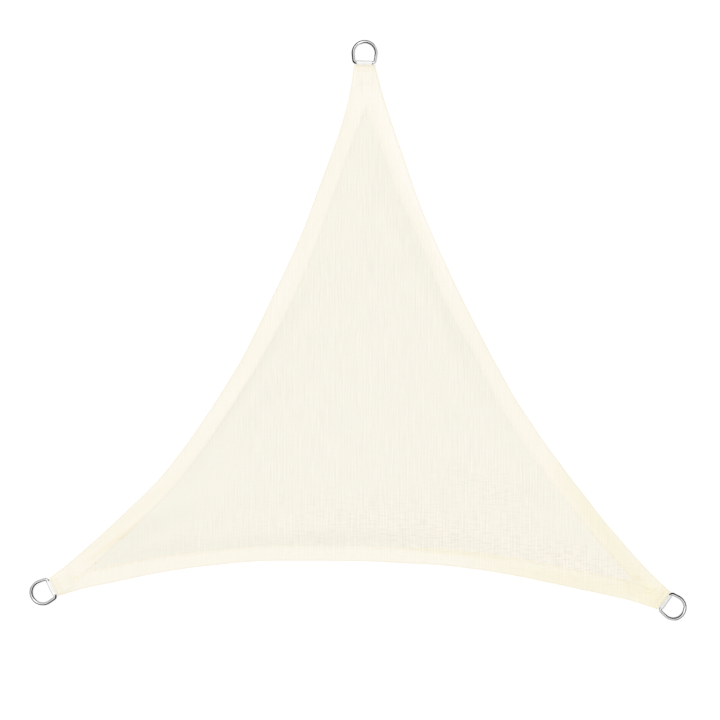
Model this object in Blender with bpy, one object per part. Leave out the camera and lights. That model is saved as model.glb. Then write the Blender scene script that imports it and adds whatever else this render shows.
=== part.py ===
"""A triangular shade sail, laid out flat with its face up, and the ring at each of its corners.

The cloth is one sheet with a wide hem turned over all round. Its three edges are drawn in between the
corners, and each corner ends in a straight cut. There a short webbing strap comes out from between the
layers of the cloth, goes round the straight bar of a D-shaped ring and goes back in.

Lengths are in metres and angles in degrees. +X is to the right, +Y is towards the upper corner and +Z is
up. The origin is on the ground, under the middle of the box that holds the sail and its rings.
"""

import math
from collections import namedtuple

import bmesh
import bpy
import numpy as np
from mathutils import Vector
from mathutils.geometry import delaunay_2d_cdt, intersect_line_line_2d, intersect_point_line

MM = 0.001
FIT_GAP = 0.3 * MM
SAME_PLACE = 0.01 * MM

# The plan: straight distances between the middles of the cut ends, and the slope of the base.
LEFT_SIDE = 1.8394
RIGHT_SIDE = 1.8570
BASE_SIDE = 1.8481
BASE_TILT = -1.26

# The corners: the width of each cut end, the way it faces, the way its ring points, and how much the two
# hems that meet there spread.
Corner = namedtuple("Corner", "name end_width end_faces ring_points hem_spread")
CORNERS = (
    Corner("left", 60 * MM, 205.3, 206.0, 7 * MM),
    Corner("top", 65 * MM, 90.0, 88.0, 31 * MM),
    Corner("right", 67 * MM, -37.8, -35.8, 15 * MM),
)

# How far each edge is drawn in from the straight line between two cut ends, in millimetres, at the
# stations, which are shares of the way along it. The edges are walked clockwise.
STATIONS = (0.0, 0.08, 0.20, 0.35, 0.50, 0.65, 0.80, 0.92, 1.0)
Edge = namedtuple("Edge", "start finish drawn_in_mm")
EDGES = (
    Edge("left", "top", (0, 52, 116, 157, 159, 138, 97, 52, 0)),
    Edge("top", "right", (0, 33, 75, 107, 121, 115, 80, 39, 0)),
    Edge("right", "left", (0, 37, 79, 117, 124, 119, 86, 39, 0)),
)

# The cloth. Its hem is a second layer on top, joined to the panel by a short slope.
CLOTH_THICKNESS = 1.2 * MM
HEM_THICKNESS = 2.6 * MM
HEM_WIDTH = 48.5 * MM
HEM_SPREAD_REACH = 0.35
HEM_STEP = 1.6 * MM
EDGE_STEPS = 52

# The points inside the panel: their pitch, and the share of it that stays free beside the hem.
PANEL_PITCH = 36.0 * MM
PANEL_MARGIN = 0.45

# The rings: round wire bent to a D. Its sides lean out from the bar to a crown of more than half a circle.
WIRE_RADIUS = 4.8 * MM
CROWN_RADIUS = 35.0 * MM
CROWN_FROM_BAR = 29.3 * MM
BEND_RADIUS = 8.0 * MM
SIDE_LEAN = 8.0
WIRE_SIDES = 12
CROWN_STEPS = 27
BEND_STEPS = 5

# The straps. The layers part over the last stretch before the bar, and meet where the stretch begins.
STRAP_WIDTH = 47.0 * MM
STRAP_THICKNESS = 1.2 * MM
STRAP_MEETS = 14.0 * MM
STRAP_TAIL = 52.0 * MM
LOOP_STEPS = 18
TAIL_STEPS = 7

# The corners of the cloth. Distances are from the axis of the ring's bar, into the cloth, and the pocket
# for the strap is cut from a little outside it. PAD_SHARES are places across the part over the strap.
CLOTH_FROM_BAR = 7.5 * MM
POCKET_OVERRUN = 3.0 * MM
STRAP_PAD_END = 74.0 * MM
CORNER_SETTLES = 95.0 * MM
POCKET_EDGE = STRAP_WIDTH / 2 + FIT_GAP
PAD_EDGE = POCKET_EDGE + 0.8 * MM
PAD_FALL = 5.0 * MM
PAD_SHARES = (-1, -0.5, 0, 0.5, 1)
CORNER_ROWS_MM = (11, 15, 22, 32, 42, 52, 62, 74, 86)

LOOP_RADIUS = WIRE_RADIUS + FIT_GAP + STRAP_THICKNESS / 2
BAR_HEIGHT = LOOP_RADIUS + STRAP_THICKNESS / 2
LAYER_OFFSET = (STRAP_THICKNESS + FIT_GAP) / 2
WIRE_FLAT = WIRE_RADIUS * math.cos(math.pi / WIRE_SIDES)

# Soft swells where the laid-out cloth stands off the ground: ends, half width and height in millimetres.
Swell = namedtuple("Swell", "x0 y0 x1 y1 half_width height")
SWELLS = (
    Swell(30, 620, 5, 150, 60, 2.2),
    Swell(80, 400, 150, 180, 55, 2.0),
    Swell(205, 160, 390, -230, 75, 3.0),
    Swell(-180, 40, -430, -400, 75, 2.8),
    Swell(-700, -670, -280, -450, 65, 2.6),
    Swell(-600, -650, 260, -595, 65, 2.6),
    Swell(730, -690, 330, -400, 80, 3.2),
    Swell(40, -20, 130, -340, 110, 2.0),
)


def direction(degrees):
    """The unit vector in plan at an angle from +X."""
    return Vector((math.cos(math.radians(degrees)), math.sin(math.radians(degrees))))


def across(degrees):
    """The unit vector a quarter turn to the left of a direction."""
    return direction(degrees + 90)


def smooth_through(places, values):
    """The natural cubic spline through some values, as a function of place."""
    x, y = np.array(places), np.array(values, float)
    step = np.diff(x)
    slope = np.diff(y) / step
    bend = np.zeros(len(x))
    beside = np.diag(step[1:-1], 1)
    system = np.diag(2 * (step[:-1] + step[1:])) + beside + beside.T
    bend[1:-1] = np.linalg.solve(system, 6 * np.diff(slope))

    def value(at):
        i = min(int(np.searchsorted(x, at, side="right")) - 1, len(step) - 1)
        t = at - x[i]
        start_slope = slope[i] - step[i] * (2 * bend[i] + bend[i + 1]) / 6
        growth = (bend[i + 1] - bend[i]) / (6 * step[i])
        return float(y[i] + t * (start_slope + t * (bend[i] / 2 + t * growth)))

    return value


def corner_places():
    """The middle of each cut end, by name, in the part's own frame."""
    tilt = math.radians(BASE_TILT)
    opening = math.acos(
        (LEFT_SIDE**2 + BASE_SIDE**2 - RIGHT_SIDE**2) / (2 * LEFT_SIDE * BASE_SIDE)
    )
    places = {
        "left": Vector((0, 0)),
        "top": LEFT_SIDE * direction(math.degrees(tilt + opening)),
        "right": BASE_SIDE * direction(BASE_TILT),
    }
    crowns = [
        places[c.name]
        + CLOTH_FROM_BAR * direction(c.end_faces)
        + CROWN_FROM_BAR * direction(c.ring_points)
        for c in CORNERS
    ]
    low = Vector((min(p.x for p in crowns), min(p.y for p in crowns)))
    high = Vector((max(p.x for p in crowns), max(p.y for p in crowns)))
    return {name: place - (low + high) / 2 for name, place in places.items()}


PLACES = corner_places()
CORNER = {c.name: c for c in CORNERS}


def end_corner(corner, hand):
    """One corner of a cut end: hand +1 is where a clockwise walk arrives, -1 where it leaves."""
    return PLACES[corner.name] + hand * corner.end_width / 2 * across(corner.end_faces)


def bar_place(corner):
    """The middle of the ring's bar, in plan."""
    return PLACES[corner.name] + CLOTH_FROM_BAR * direction(corner.end_faces)


def edge_line(edge):
    """Points along one edge of the cloth, from cut end to cut end."""
    start = end_corner(CORNER[edge.start], -1)
    run = end_corner(CORNER[edge.finish], 1) - start
    inward = Vector((run.y, -run.x)).normalized()
    drawn_in = smooth_through(STATIONS, edge.drawn_in_mm)
    shares = [i / EDGE_STEPS for i in range(EDGE_STEPS + 1)]
    return [start + share * run + drawn_in(share) * MM * inward for share in shares]


def hem_width(point, edge, line):
    """Width of an edge's hem at a point on the edge."""
    width = HEM_WIDTH
    for name, end in ((edge.start, line[0]), (edge.finish, line[-1])):
        share = max(0.0, 1 - (point - end).length / HEM_SPREAD_REACH)
        width += CORNER[name].hem_spread * share**2
    return width


def offset_line(edge, line, extra):
    """The line inside an edge where its hem ends, or that line moved further in."""
    moved = []
    for i, point in enumerate(line):
        along = line[min(i + 1, len(line) - 1)] - line[max(i - 1, 0)]
        inward = Vector((along.y, -along.x)).normalized()
        moved.append(point + (hem_width(point, edge, line) + extra) * inward)
    return moved


def first_crossing(arriving, leaving):
    """Where one line meets the next one round: its place in each, and the point."""
    for i in range(len(arriving) - 2, -1, -1):
        for j in range(len(leaving) - 1):
            point = intersect_line_line_2d(arriving[i], arriving[i + 1], leaving[j], leaving[j + 1])
            if point:
                return i, j, point
    raise ValueError("two hem lines don't meet")


def inner_loop(edge_lines, extra):
    """The closed loop inside the hems, cut to its corners."""
    lines = [offset_line(edge, line, extra) for edge, line in zip(EDGES, edge_lines)]
    meets = [first_crossing(lines[k - 1], lines[k]) for k in range(len(lines))]
    loop = []
    for k, line in enumerate(lines):
        begins = meets[k][1] + 1
        ends = meets[(k + 1) % len(lines)][0]
        loop.append(meets[k][2])
        loop.extend(line[begins + 1 : ends])
    return loop


def distance_to(point, loop):
    """How far a point is from a closed loop."""
    nearest = math.inf
    for i, end in enumerate(loop):
        foot, share = intersect_point_line(point, loop[i - 1], end)
        foot = loop[i - 1] if share < 0 else end if share > 1 else foot.to_2d()
        nearest = min(nearest, (point - foot).length)
    return nearest


def is_inside(point, loop):
    """Whether a point lies within a closed loop."""
    odd = False
    for i, b in enumerate(loop):
        a = loop[i - 1]
        if (a.y > point.y) != (b.y > point.y):
            odd ^= point.x < a.x + (point.y - a.y) / (b.y - a.y) * (b.x - a.x)
    return odd


def panel_points(loop):
    """An even triangular grid inside the panel."""
    row_pitch = PANEL_PITCH * math.sqrt(3) / 2
    low_x, high_x = min(p.x for p in loop), max(p.x for p in loop)
    low_y, high_y = min(p.y for p in loop), max(p.y for p in loop)
    points = []
    for row in range(int((high_y - low_y) / row_pitch) + 1):
        for column in range(int((high_x - low_x) / PANEL_PITCH) + 1):
            x = low_x + (column + row % 2 / 2) * PANEL_PITCH
            point = Vector((x, low_y + row * row_pitch))
            if is_inside(point, loop) and distance_to(point, loop) > PANEL_MARGIN * PANEL_PITCH:
                points.append(point)
    return points


def in_corner(point, corner):
    """A point's distance into the cloth from the bar's axis, and its distance off the strap's middle."""
    away = point - bar_place(corner)
    return -away.dot(direction(corner.ring_points)), away.dot(across(corner.ring_points))


def from_corner(inward, sideways, corner):
    """The point in plan at such distances."""
    return (
        bar_place(corner)
        - inward * direction(corner.ring_points)
        + sideways * across(corner.ring_points)
    )


def middle_height(inward):
    """Height of the middle between a strap's two layers, which comes down to the hem's."""
    share = (inward - STRAP_MEETS) / (CORNER_SETTLES - STRAP_MEETS)
    ease = (1 + math.cos(math.pi * min(max(share, 0.0), 1.0))) / 2
    return HEM_THICKNESS / 2 + (BAR_HEIGHT - HEM_THICKNESS / 2) * ease


def tangent_angle():
    """Where on its loop the strap leaves the bar, from the way into the cloth."""
    return math.atan2(LAYER_OFFSET, STRAP_MEETS) + math.acos(
        LOOP_RADIUS / math.hypot(STRAP_MEETS, LAYER_OFFSET)
    )


def layer_rise(inward):
    """How far a strap layer's middle is above the middle between the layers."""
    return LAYER_OFFSET + max(0.0, STRAP_MEETS - inward) / math.tan(tangent_angle())


def pocket_half(inward):
    """Half the height of the space for the strap between the layers of the cloth."""
    skew = 1 / math.sin(tangent_angle()) if inward < STRAP_MEETS else 1
    return layer_rise(inward) + STRAP_THICKNESS / 2 * skew + FIT_GAP


def corner_heights(inward, sideways):
    """Underside and top of the cloth at a corner: thick over the strap, and thin at its edges."""
    fade = (STRAP_PAD_END - inward) / (STRAP_PAD_END - STRAP_TAIL)
    fade = min(max(fade, 0.0), 1.0)
    off_pad = (abs(sideways) - PAD_EDGE) / PAD_FALL
    fade *= 1 - min(max(off_pad, 0.0), 1.0)
    over_strap = pocket_half(inward) + CLOTH_THICKNESS
    half = HEM_THICKNESS / 2 + (over_strap - HEM_THICKNESS / 2) * fade
    return middle_height(inward) - half, middle_height(inward) + half


def swell_height(point):
    """How far the laid-out cloth stands off the ground."""
    height = 0.0
    for s in SWELLS:
        start, end = Vector((s.x0, s.y0)) * MM, Vector((s.x1, s.y1)) * MM
        foot, share = intersect_point_line(point, start, end)
        if 0 < share < 1:
            off = min((point - foot.to_2d()).length / (s.half_width * MM), 1)
            height += s.height * MM * math.sin(math.pi * share) * (1 - off**2) ** 2
    return height


def cloth_heights(point, thickness):
    """Underside and top of the cloth at a point in plan."""
    for corner in CORNERS:
        inward, sideways = in_corner(point, corner)
        if inward < CORNER_SETTLES:
            return corner_heights(inward, sideways)
    lift = swell_height(point)
    return lift, lift + thickness


def material(name, colour, roughness, metallic=0.0):
    """A Principled material."""
    made = bpy.data.materials.new(name)
    made.use_nodes = True
    shader = made.node_tree.nodes["Principled BSDF"]
    shader.inputs["Base Color"].default_value = (*colour, 1)
    shader.inputs["Roughness"].default_value = roughness
    shader.inputs["Metallic"].default_value = metallic
    return made


def new_object(name, data, collection, finish=None):
    """An object in a collection, with its material."""
    made = bpy.data.objects.new(name, data)
    collection.objects.link(made)
    if finish:
        data.materials.append(finish)
    return made


def end_points(corner):
    """Points across a cut end, between its corners, beside and over the strap."""
    half = PAD_EDGE / math.cos(math.radians(corner.ring_points - corner.end_faces))
    offsets = [share * half for share in reversed(PAD_SHARES)]
    return [PLACES[corner.name] + offset * across(corner.end_faces) for offset in offsets]


def corner_points(corner, outline):
    """Rows of points over the strap, inside the outline."""
    points = []
    for row in CORNER_ROWS_MM:
        for share in PAD_SHARES:
            point = from_corner(row * MM, share * PAD_EDGE, corner)
            if is_inside(point, outline) and distance_to(point, outline) > MM:
                points.append(point)
    return points


def sail_cloth(collection, finish):
    """The whole cloth as one closed sheet, its hem a step thicker than its panel."""
    edge_lines = [edge_line(edge) for edge in EDGES]
    outline = []
    for edge, line in zip(EDGES, edge_lines):
        outline.extend(line)
        outline.extend(end_points(CORNER[edge.finish]))
    hem_loop = inner_loop(edge_lines, 0.0)
    panel_loop = inner_loop(edge_lines, HEM_STEP)
    corner_rows = [p for corner in CORNERS for p in corner_points(corner, outline)]
    hem = outline + hem_loop + corner_rows
    panel = panel_loop + panel_points(panel_loop)

    def ring_of_edges(first, count):
        return [(first + i, first + (i + 1) % count) for i in range(count)]

    lines = ring_of_edges(0, len(outline))
    lines += ring_of_edges(len(outline), len(hem_loop))
    lines += ring_of_edges(len(hem), len(panel_loop))
    within = [list(range(len(outline)))]
    only_within = 1
    points, _, faces, origins, _, _ = delaunay_2d_cdt(
        hem + panel, lines, within, only_within, SAME_PLACE
    )

    bm = bmesh.new()
    under, over = [], []
    for point, origin in zip(points, origins):
        thickness = HEM_THICKNESS if min(origin) < len(hem) else CLOTH_THICKNESS
        low, high = cloth_heights(point, thickness)
        under.append(bm.verts.new((point.x, point.y, low)))
        over.append(bm.verts.new((point.x, point.y, high)))
    used = set()
    for face in faces:
        bm.faces.new([over[i] for i in face])
        bm.faces.new([under[i] for i in reversed(face)])
        used.update((face[i - 1], face[i]) for i in range(3))
    for a, b in used:
        if (b, a) not in used:
            bm.faces.new((over[a], under[a], under[b], over[b]))
    bmesh.ops.recalc_face_normals(bm, faces=bm.faces)
    bmesh.ops.triangulate(bm, faces=[face for face in bm.faces if len(face.verts) > 3])
    mesh = bpy.data.meshes.new("sail_cloth")
    bm.to_mesh(mesh)
    bm.free()
    return new_object("sail_cloth", mesh, collection, finish)


def place_at_bar(made, corner):
    """Move a piece drawn about its ring's bar, +X towards the crown, to a corner."""
    made.location = (*bar_place(corner), BAR_HEIGHT)
    made.rotation_euler = (0, 0, math.radians(corner.ring_points))


def ring_path():
    """Centre line of a ring, with the bar along Y at x = 0 and the crown towards +X."""
    lean = math.radians(SIDE_LEAN)
    rise = CROWN_FROM_BAR - BEND_RADIUS
    half_bar = (CROWN_RADIUS - BEND_RADIUS - rise * math.sin(lean)) / math.cos(lean)
    path = []
    for i in range(CROWN_STEPS + 1):
        angle = (math.pi / 2 + lean) * (2 * i / CROWN_STEPS - 1)
        x = CROWN_FROM_BAR + CROWN_RADIUS * math.cos(angle)
        path.append((x, CROWN_RADIUS * math.sin(angle)))
    for hand in (1, -1):
        bend = []
        for i in range(BEND_STEPS + 1):
            angle = math.pi / 2 + lean + (math.pi / 2 - lean) * i / BEND_STEPS
            y = half_bar + BEND_RADIUS * math.sin(angle)
            bend.append((BEND_RADIUS + BEND_RADIUS * math.cos(angle), hand * y))
        path.extend(bend if hand > 0 else reversed(bend))
    return path


def ring(corner, collection, finish):
    """One D-shaped ring, its bar raised by the strap under it and its crown on the ground."""
    curve = bpy.data.curves.new("ring_" + corner.name, "CURVE")
    curve.dimensions = "3D"
    curve.bevel_depth = WIRE_RADIUS
    curve.bevel_resolution = WIRE_SIDES // 2 - 2
    path = ring_path()
    line = curve.splines.new("POLY")
    line.points.add(len(path) - 1)
    for point, (x, y) in zip(line.points, path):
        point.co = (x, y, 0, 1)
        point.tilt = math.pi / WIRE_SIDES
    line.use_cyclic_u = True
    line.use_smooth = True
    made = new_object("ring_" + corner.name, curve, collection, finish)
    place_at_bar(made, corner)
    reach = CROWN_FROM_BAR + CROWN_RADIUS + WIRE_RADIUS * math.sin(math.pi / WIRE_SIDES)
    made.rotation_euler[1] = math.asin((BAR_HEIGHT - WIRE_FLAT) / reach)
    return made


def layer_line(hand):
    """Middle line of one layer of a strap, from loop to tail: x into the cloth, y up from the bar."""
    steps = [STRAP_MEETS + (STRAP_TAIL - STRAP_MEETS) * i / TAIL_STEPS for i in range(TAIL_STEPS + 1)]
    return [Vector((x, middle_height(x) - BAR_HEIGHT + hand * layer_rise(x))) for x in steps]


def strap_section():
    """Outline of a strap seen along the bar: x into the cloth, y up from the bar's axis."""
    leaves = tangent_angle()
    angles = [leaves + (2 * math.pi - 2 * leaves) * i / LOOP_STEPS for i in range(LOOP_STEPS + 1)]
    loop = [Vector((math.cos(a), math.sin(a))) * LOOP_RADIUS for a in angles]
    middle = layer_line(1)[::-1] + loop + layer_line(-1)
    outer, inner = [], []
    for i, point in enumerate(middle):
        along = middle[min(i + 1, len(middle) - 1)] - middle[max(i - 1, 0)]
        side = Vector((-along.y, along.x)).normalized() * STRAP_THICKNESS / 2
        outer.append(point - side)
        inner.append(point + side)
    return outer + inner[::-1]


def pocket_section():
    """Outline of the space for a strap's tails, which starts outside the cloth."""
    mouth = CLOTH_FROM_BAR - POCKET_OVERRUN
    places = [mouth, STRAP_MEETS]
    places += [STRAP_MEETS + (STRAP_TAIL - STRAP_MEETS) * i / TAIL_STEPS for i in range(1, TAIL_STEPS + 1)]
    places.append(STRAP_TAIL + FIT_GAP)
    middle = [middle_height(x) - BAR_HEIGHT for x in places]
    top = [Vector((x, m + pocket_half(x))) for x, m in zip(places, middle)]
    bottom = [Vector((x, m - pocket_half(x))) for x, m in zip(places, middle)]
    return top + bottom[::-1]


def section_solid(name, section, width, corner, collection, finish=None):
    """A section seen along the bar, given a width and set at a corner."""
    curve = bpy.data.curves.new(name, "CURVE")
    curve.dimensions = "2D"
    curve.fill_mode = "BOTH"
    curve.extrude = width / 2
    line = curve.splines.new("POLY")
    line.points.add(len(section) - 1)
    for point, (x, y) in zip(line.points, section):
        point.co = (x, y, 0, 1)
    line.use_cyclic_u = True
    made = new_object(name, curve, collection, finish)
    place_at_bar(made, corner)
    made.rotation_euler = (math.pi / 2, 0, math.radians(corner.ring_points + 180))
    return made


def as_mesh(made):
    """Turn a curve object into a closed mesh object in the same place."""
    name, collection = made.name, made.users_collection[0]
    evaluated = made.evaluated_get(bpy.context.evaluated_depsgraph_get())
    mesh = bpy.data.meshes.new_from_object(evaluated)
    bm = bmesh.new()
    bm.from_mesh(mesh)
    bmesh.ops.remove_doubles(bm, verts=bm.verts, dist=SAME_PLACE)
    bmesh.ops.recalc_face_normals(bm, faces=bm.faces)
    bm.to_mesh(mesh)
    bm.free()
    solid = new_object("solid", mesh, collection)
    solid.matrix_world = made.matrix_world.copy()
    bpy.data.objects.remove(made)
    solid.name = name
    return solid


def cut_pocket(cloth, corner, collection):
    """Open a corner of the cloth for its strap."""
    cutter = section_solid("pocket_" + corner.name, pocket_section(), 2 * POCKET_EDGE, corner, collection)
    bpy.context.view_layer.update()
    cutter = as_mesh(cutter)
    cutter.hide_render = True
    cutter.display_type = "WIRE"
    cut = cloth.modifiers.new("pocket_" + corner.name, "BOOLEAN")
    cut.operation = "DIFFERENCE"
    cut.object = cutter


def new_collection(name):
    """A collection in the scene."""
    made = bpy.data.collections.new(name)
    bpy.context.scene.collection.children.link(made)
    return made


def main():
    for old in list(bpy.data.objects):
        bpy.data.objects.remove(old)
    sail = new_collection("shade_sail")
    cutters = new_collection("cutters")
    ivory_cloth = material("ivory_cloth", (0.88, 0.85, 0.76), 0.85)
    white_webbing = material("white_webbing", (0.86, 0.86, 0.85), 0.7)
    polished_steel = material("polished_steel", (0.66, 0.65, 0.64), 0.15, 1.0)

    cloth = sail_cloth(sail, ivory_cloth)
    for corner in CORNERS:
        cut_pocket(cloth, corner, cutters)
        name = "strap_" + corner.name
        section_solid(name, strap_section(), STRAP_WIDTH, corner, sail, white_webbing)
        ring(corner, sail, polished_steel)


main()
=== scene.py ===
"""A triangular shade sail laid out on a pale floor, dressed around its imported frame.

The sail is knitted ivory shade cloth with a wide hem turned over all round. Its three edges are drawn in.
At each corner a white webbing strap comes out of the cloth and holds a D-shaped ring of polished steel.

Lengths are in metres unless a name ends in _MM or _mm, and angles in degrees. +X is to the right, +Y is
towards the upper corner and +Z is up.
"""

import math
from collections import namedtuple

import bmesh
import bpy
import numpy as np
from bpy.props import FloatProperty, FloatVectorProperty, IntProperty, PointerProperty
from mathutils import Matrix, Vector, noise
from mathutils.geometry import delaunay_2d_cdt


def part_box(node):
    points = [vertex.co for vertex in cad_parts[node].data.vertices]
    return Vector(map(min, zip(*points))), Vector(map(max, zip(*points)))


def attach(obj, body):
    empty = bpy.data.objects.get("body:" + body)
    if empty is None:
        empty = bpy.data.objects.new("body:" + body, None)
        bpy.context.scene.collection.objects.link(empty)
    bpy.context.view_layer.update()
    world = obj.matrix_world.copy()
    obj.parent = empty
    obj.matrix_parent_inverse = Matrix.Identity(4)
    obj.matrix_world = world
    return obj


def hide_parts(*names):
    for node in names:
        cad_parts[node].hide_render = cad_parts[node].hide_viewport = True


bl_info = {
    "name": "Shade Sail",
    "version": (1, 0, 0),
    "blender": (4, 5, 0),
    "location": "3D View > Sidebar > Sail",
    "description": "Makes a knitted shade sail with its hems, stitches, corner straps and rings",
    "category": "Object",
}

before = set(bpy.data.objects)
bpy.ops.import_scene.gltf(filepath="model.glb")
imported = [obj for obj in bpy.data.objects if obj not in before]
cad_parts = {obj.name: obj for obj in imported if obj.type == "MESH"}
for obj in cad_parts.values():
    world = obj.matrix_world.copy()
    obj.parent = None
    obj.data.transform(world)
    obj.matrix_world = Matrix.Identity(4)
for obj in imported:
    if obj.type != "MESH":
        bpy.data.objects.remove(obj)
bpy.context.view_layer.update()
BODY = "root"

MM = 0.001

# How far a piece's box may be from the box of the CAD node that it stands for.
FURTHEST_OFF = 1.5 * MM

# How many points are measured against a line at once, to save memory.
AT_ONCE = 4096

# ---------------------------------------------------------------------------------------------------------
# The plan of the cloth
# ---------------------------------------------------------------------------------------------------------

# Straight distances between the middles of the cut ends, and the slope of the base.
LEFT_SIDE = 1.8394
RIGHT_SIDE = 1.8570
BASE_SIDE = 1.8481
BASE_TILT = -1.26

# The corners: the width of each cut end, the way it faces and the way its ring points. Then the painted
# shade on the cut edge and the yellow-brown tint of the cloth beside it, as shares, and how far in that
# goes. Last, how light the strap is painted: below 1 it is painted shade, darkest on the right strap.
Corner = namedtuple(
    "Corner", "name end_width end_faces ring_points rim_stain end_stain stain_depth strap_tone"
)
CORNERS = (
    Corner("left", 60 * MM, 205.3, 206.0, 0.15, 0.12, 24 * MM, 1.0),
    Corner("top", 65 * MM, 90.0, 88.0, 0.40, 0.10, 20 * MM, 0.98),
    Corner("right", 67 * MM, -37.8, -35.8, 0.40, 0.10, 32 * MM, 0.84),
)
CORNER_NAMED = {corner.name: corner for corner in CORNERS}

# How far each edge is drawn in from the straight line between two cut ends, at shares of the way along it.
# The edges are walked clockwise.
STATIONS = (*(i * 0.04 for i in range(25)), 1.0)
Edge = namedtuple("Edge", "start finish drawn_in_mm")
LEFT_EDGE_MM = (
    0, 28, 52.3, 74.8, 95.5, 115.9, 133.1, 143.5, 151.2, 156, 159.7, 161.2, 161.8,
    157, 151.6, 144.7, 138.9, 131.2, 121.9, 109, 95.8, 82.5, 69.3, 51.8, 29.3, 0,
)
RIGHT_EDGE_MM = (
    0, 19.2, 34.6, 48.4, 61.4, 75.3, 87.4, 96.2, 103.3, 109.1, 113.9, 117.5, 119.9,
    122.3, 122.9, 122.4, 116.8, 110.8, 101.8, 92.7, 81.2, 70.5, 56.1, 40.6, 22.3, 0,
)
BASE_EDGE_MM = (
    0, 21, 36.8, 50.6, 64.4, 78.4, 91.2, 101.8, 110.4, 116.8, 119.7, 121.7, 124,
    123.5, 122.9, 121.3, 119.5, 115.4, 107.4, 97.9, 86.7, 72.5, 56.1, 39, 22.2, 0,
)
EDGES = (
    Edge("left", "top", LEFT_EDGE_MM),
    Edge("top", "right", RIGHT_EDGE_MM),
    Edge("right", "left", BASE_EDGE_MM),
)

# How far in from each edge the hem reaches, in millimetres, at shares of the way along the edge.
HEM_STATIONS = (0, 0.08, 0.2, 0.3, 0.4, 0.5, 0.6, 0.7, 0.8, 0.88, 0.94, 1)
HEM_REACHES_MM = (
    (55, 51.7, 50.1, 50.5, 49.9, 53.4, 60.2, 54.6, 51.7, 50.3, 59.3, 79),
    (79, 59.4, 49.7, 42.2, 48.5, 44.8, 50.7, 55, 53.8, 52.1, 53.2, 63),
    (63, 56.2, 53.6, 51, 49.3, 44.7, 45.4, 44.4, 45.8, 48.8, 49.9, 55),
)

# A soft stroke over the cloth: its ends, its half width and its height, in millimetres.
Stroke = namedtuple("Stroke", "x0 y0 x1 y1 half_width height")

# Where the laid-out cloth stands off the ground.
SWELLS = (
    Stroke(30, 620, 5, 150, 60, 2.2),
    Stroke(80, 400, 150, 180, 55, 2.0),
    Stroke(205, 160, 390, -230, 75, 3.0),
    Stroke(-180, 40, -430, -400, 75, 2.8),
    Stroke(-700, -670, -280, -450, 65, 2.6),
    Stroke(-600, -650, 260, -595, 65, 2.6),
    Stroke(730, -690, 330, -400, 80, 3.2),
    Stroke(40, -20, 130, -340, 110, 2.0),
)

# Creases pressed into the upper face. A trough has a height below zero.
CREASES = (
    Stroke(12, 776, 13, 668, 2.6, -0.34),
    Stroke(-821, -725, -832, -738, 2.4, -0.36),
    Stroke(-830, -734, -836, -753, 2.4, -0.30),
    Stroke(831, -744, 846, -748, 3.0, 0.34),
    Stroke(842, -748, 858, -752, 3.0, 0.30),
    Stroke(836, -754, 851, -757, 2.6, -0.30),
    Stroke(862, -779, 880, -788, 3.0, 0.34),
    Stroke(868, -774, 884, -780, 2.6, -0.28),
    Stroke(896, -806, 912, -786, 2.6, -0.26),
    Stroke(806, -756, 816, -774, 3.0, -0.24),
)

# The rings and the loops round their bars.
WIRE_RADIUS = 4.8 * MM
CROWN_RADIUS = 35.0 * MM
CROWN_FROM_BAR = 29.3 * MM
BEND_RADIUS = 8.0 * MM
SIDE_LEAN = 8.0
FIT_GAP = 0.3 * MM
STRAP_MEETS = 14.0 * MM
STRAP_TAIL = 52.0 * MM
STRAP_THICKNESS = 1.2 * MM
STRAP_WIDTH = 47.0 * MM
LOOP_RADIUS = WIRE_RADIUS + FIT_GAP + STRAP_THICKNESS / 2
BAR_HEIGHT = LOOP_RADIUS + STRAP_THICKNESS / 2
LAYER_OFFSET = (STRAP_THICKNESS + FIT_GAP) / 2

# Where the hem has yellowed or is paler, the painted shade where the cloth looks greyer, and where its
# threads show most. Here and below, a stroke's height is a share.
WARM_PATCHES = (
    Stroke(560, -365, 810, -685, 46, 0.62),
    Stroke(640, -500, 860, -745, 34, 0.5),
    Stroke(730, -650, 990, -890, 70, 0.8),
    Stroke(-120, -628, 560, -702, 18, 0.8),
    Stroke(300, -690, 1060, -840, 46, 0.85),
    Stroke(-900, -740, -470, -380, 26, 0.35),
    Stroke(-900, -790, -840, -720, 40, 0.3),
    Stroke(-420, -190, -250, 110, 30, 0.3),
    Stroke(20, 860, 60, 770, 45, 0.12),
)
PALE_PATCHES = (
    Stroke(20, 830, 190, 330, 34, 0.9),
    Stroke(5, 800, 5, 560, 50, 0.4),
    Stroke(120, 520, 330, 30, 16, 0.9),
    Stroke(-360, -140, -120, 340, 26, 0.3),
    Stroke(-500, -330, -330, -130, 24, 0.3),
)
SHADED_PATCHES = (
    Stroke(150, 330, 330, -120, 40, 0.3),
    Stroke(250, 90, 420, -250, 50, 0.18),
    Stroke(40, 580, 190, 170, 36, 0.22),
    Stroke(-9, 560, -9, 470, 34, 0.15),
    Stroke(-150, 150, -560, -500, 45, 0.55),
    Stroke(-860, -725, -480, -640, 40, 0.35),
    Stroke(-850, -700, -420, -500, 50, 0.4),
    Stroke(-640, -668, 60, -620, 42, 0.42),
    Stroke(-200, -622, 420, -650, 42, 0.35),
    Stroke(260, -640, 620, -690, 36, 0.12),
    Stroke(380, -100, 520, -420, 26, 0.15),
)
COARSE_PATCHES = (
    Stroke(-420, -600, 560, -590, 135, 0.6),
    Stroke(60, -610, 880, -735, 115, 0.55),
    Stroke(420, -640, 980, -800, 80, 0.6),
    Stroke(-900, -700, -250, -600, 55, 0.25),
    Stroke(160, -400, 640, -560, 100, 0.45),
)

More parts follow.
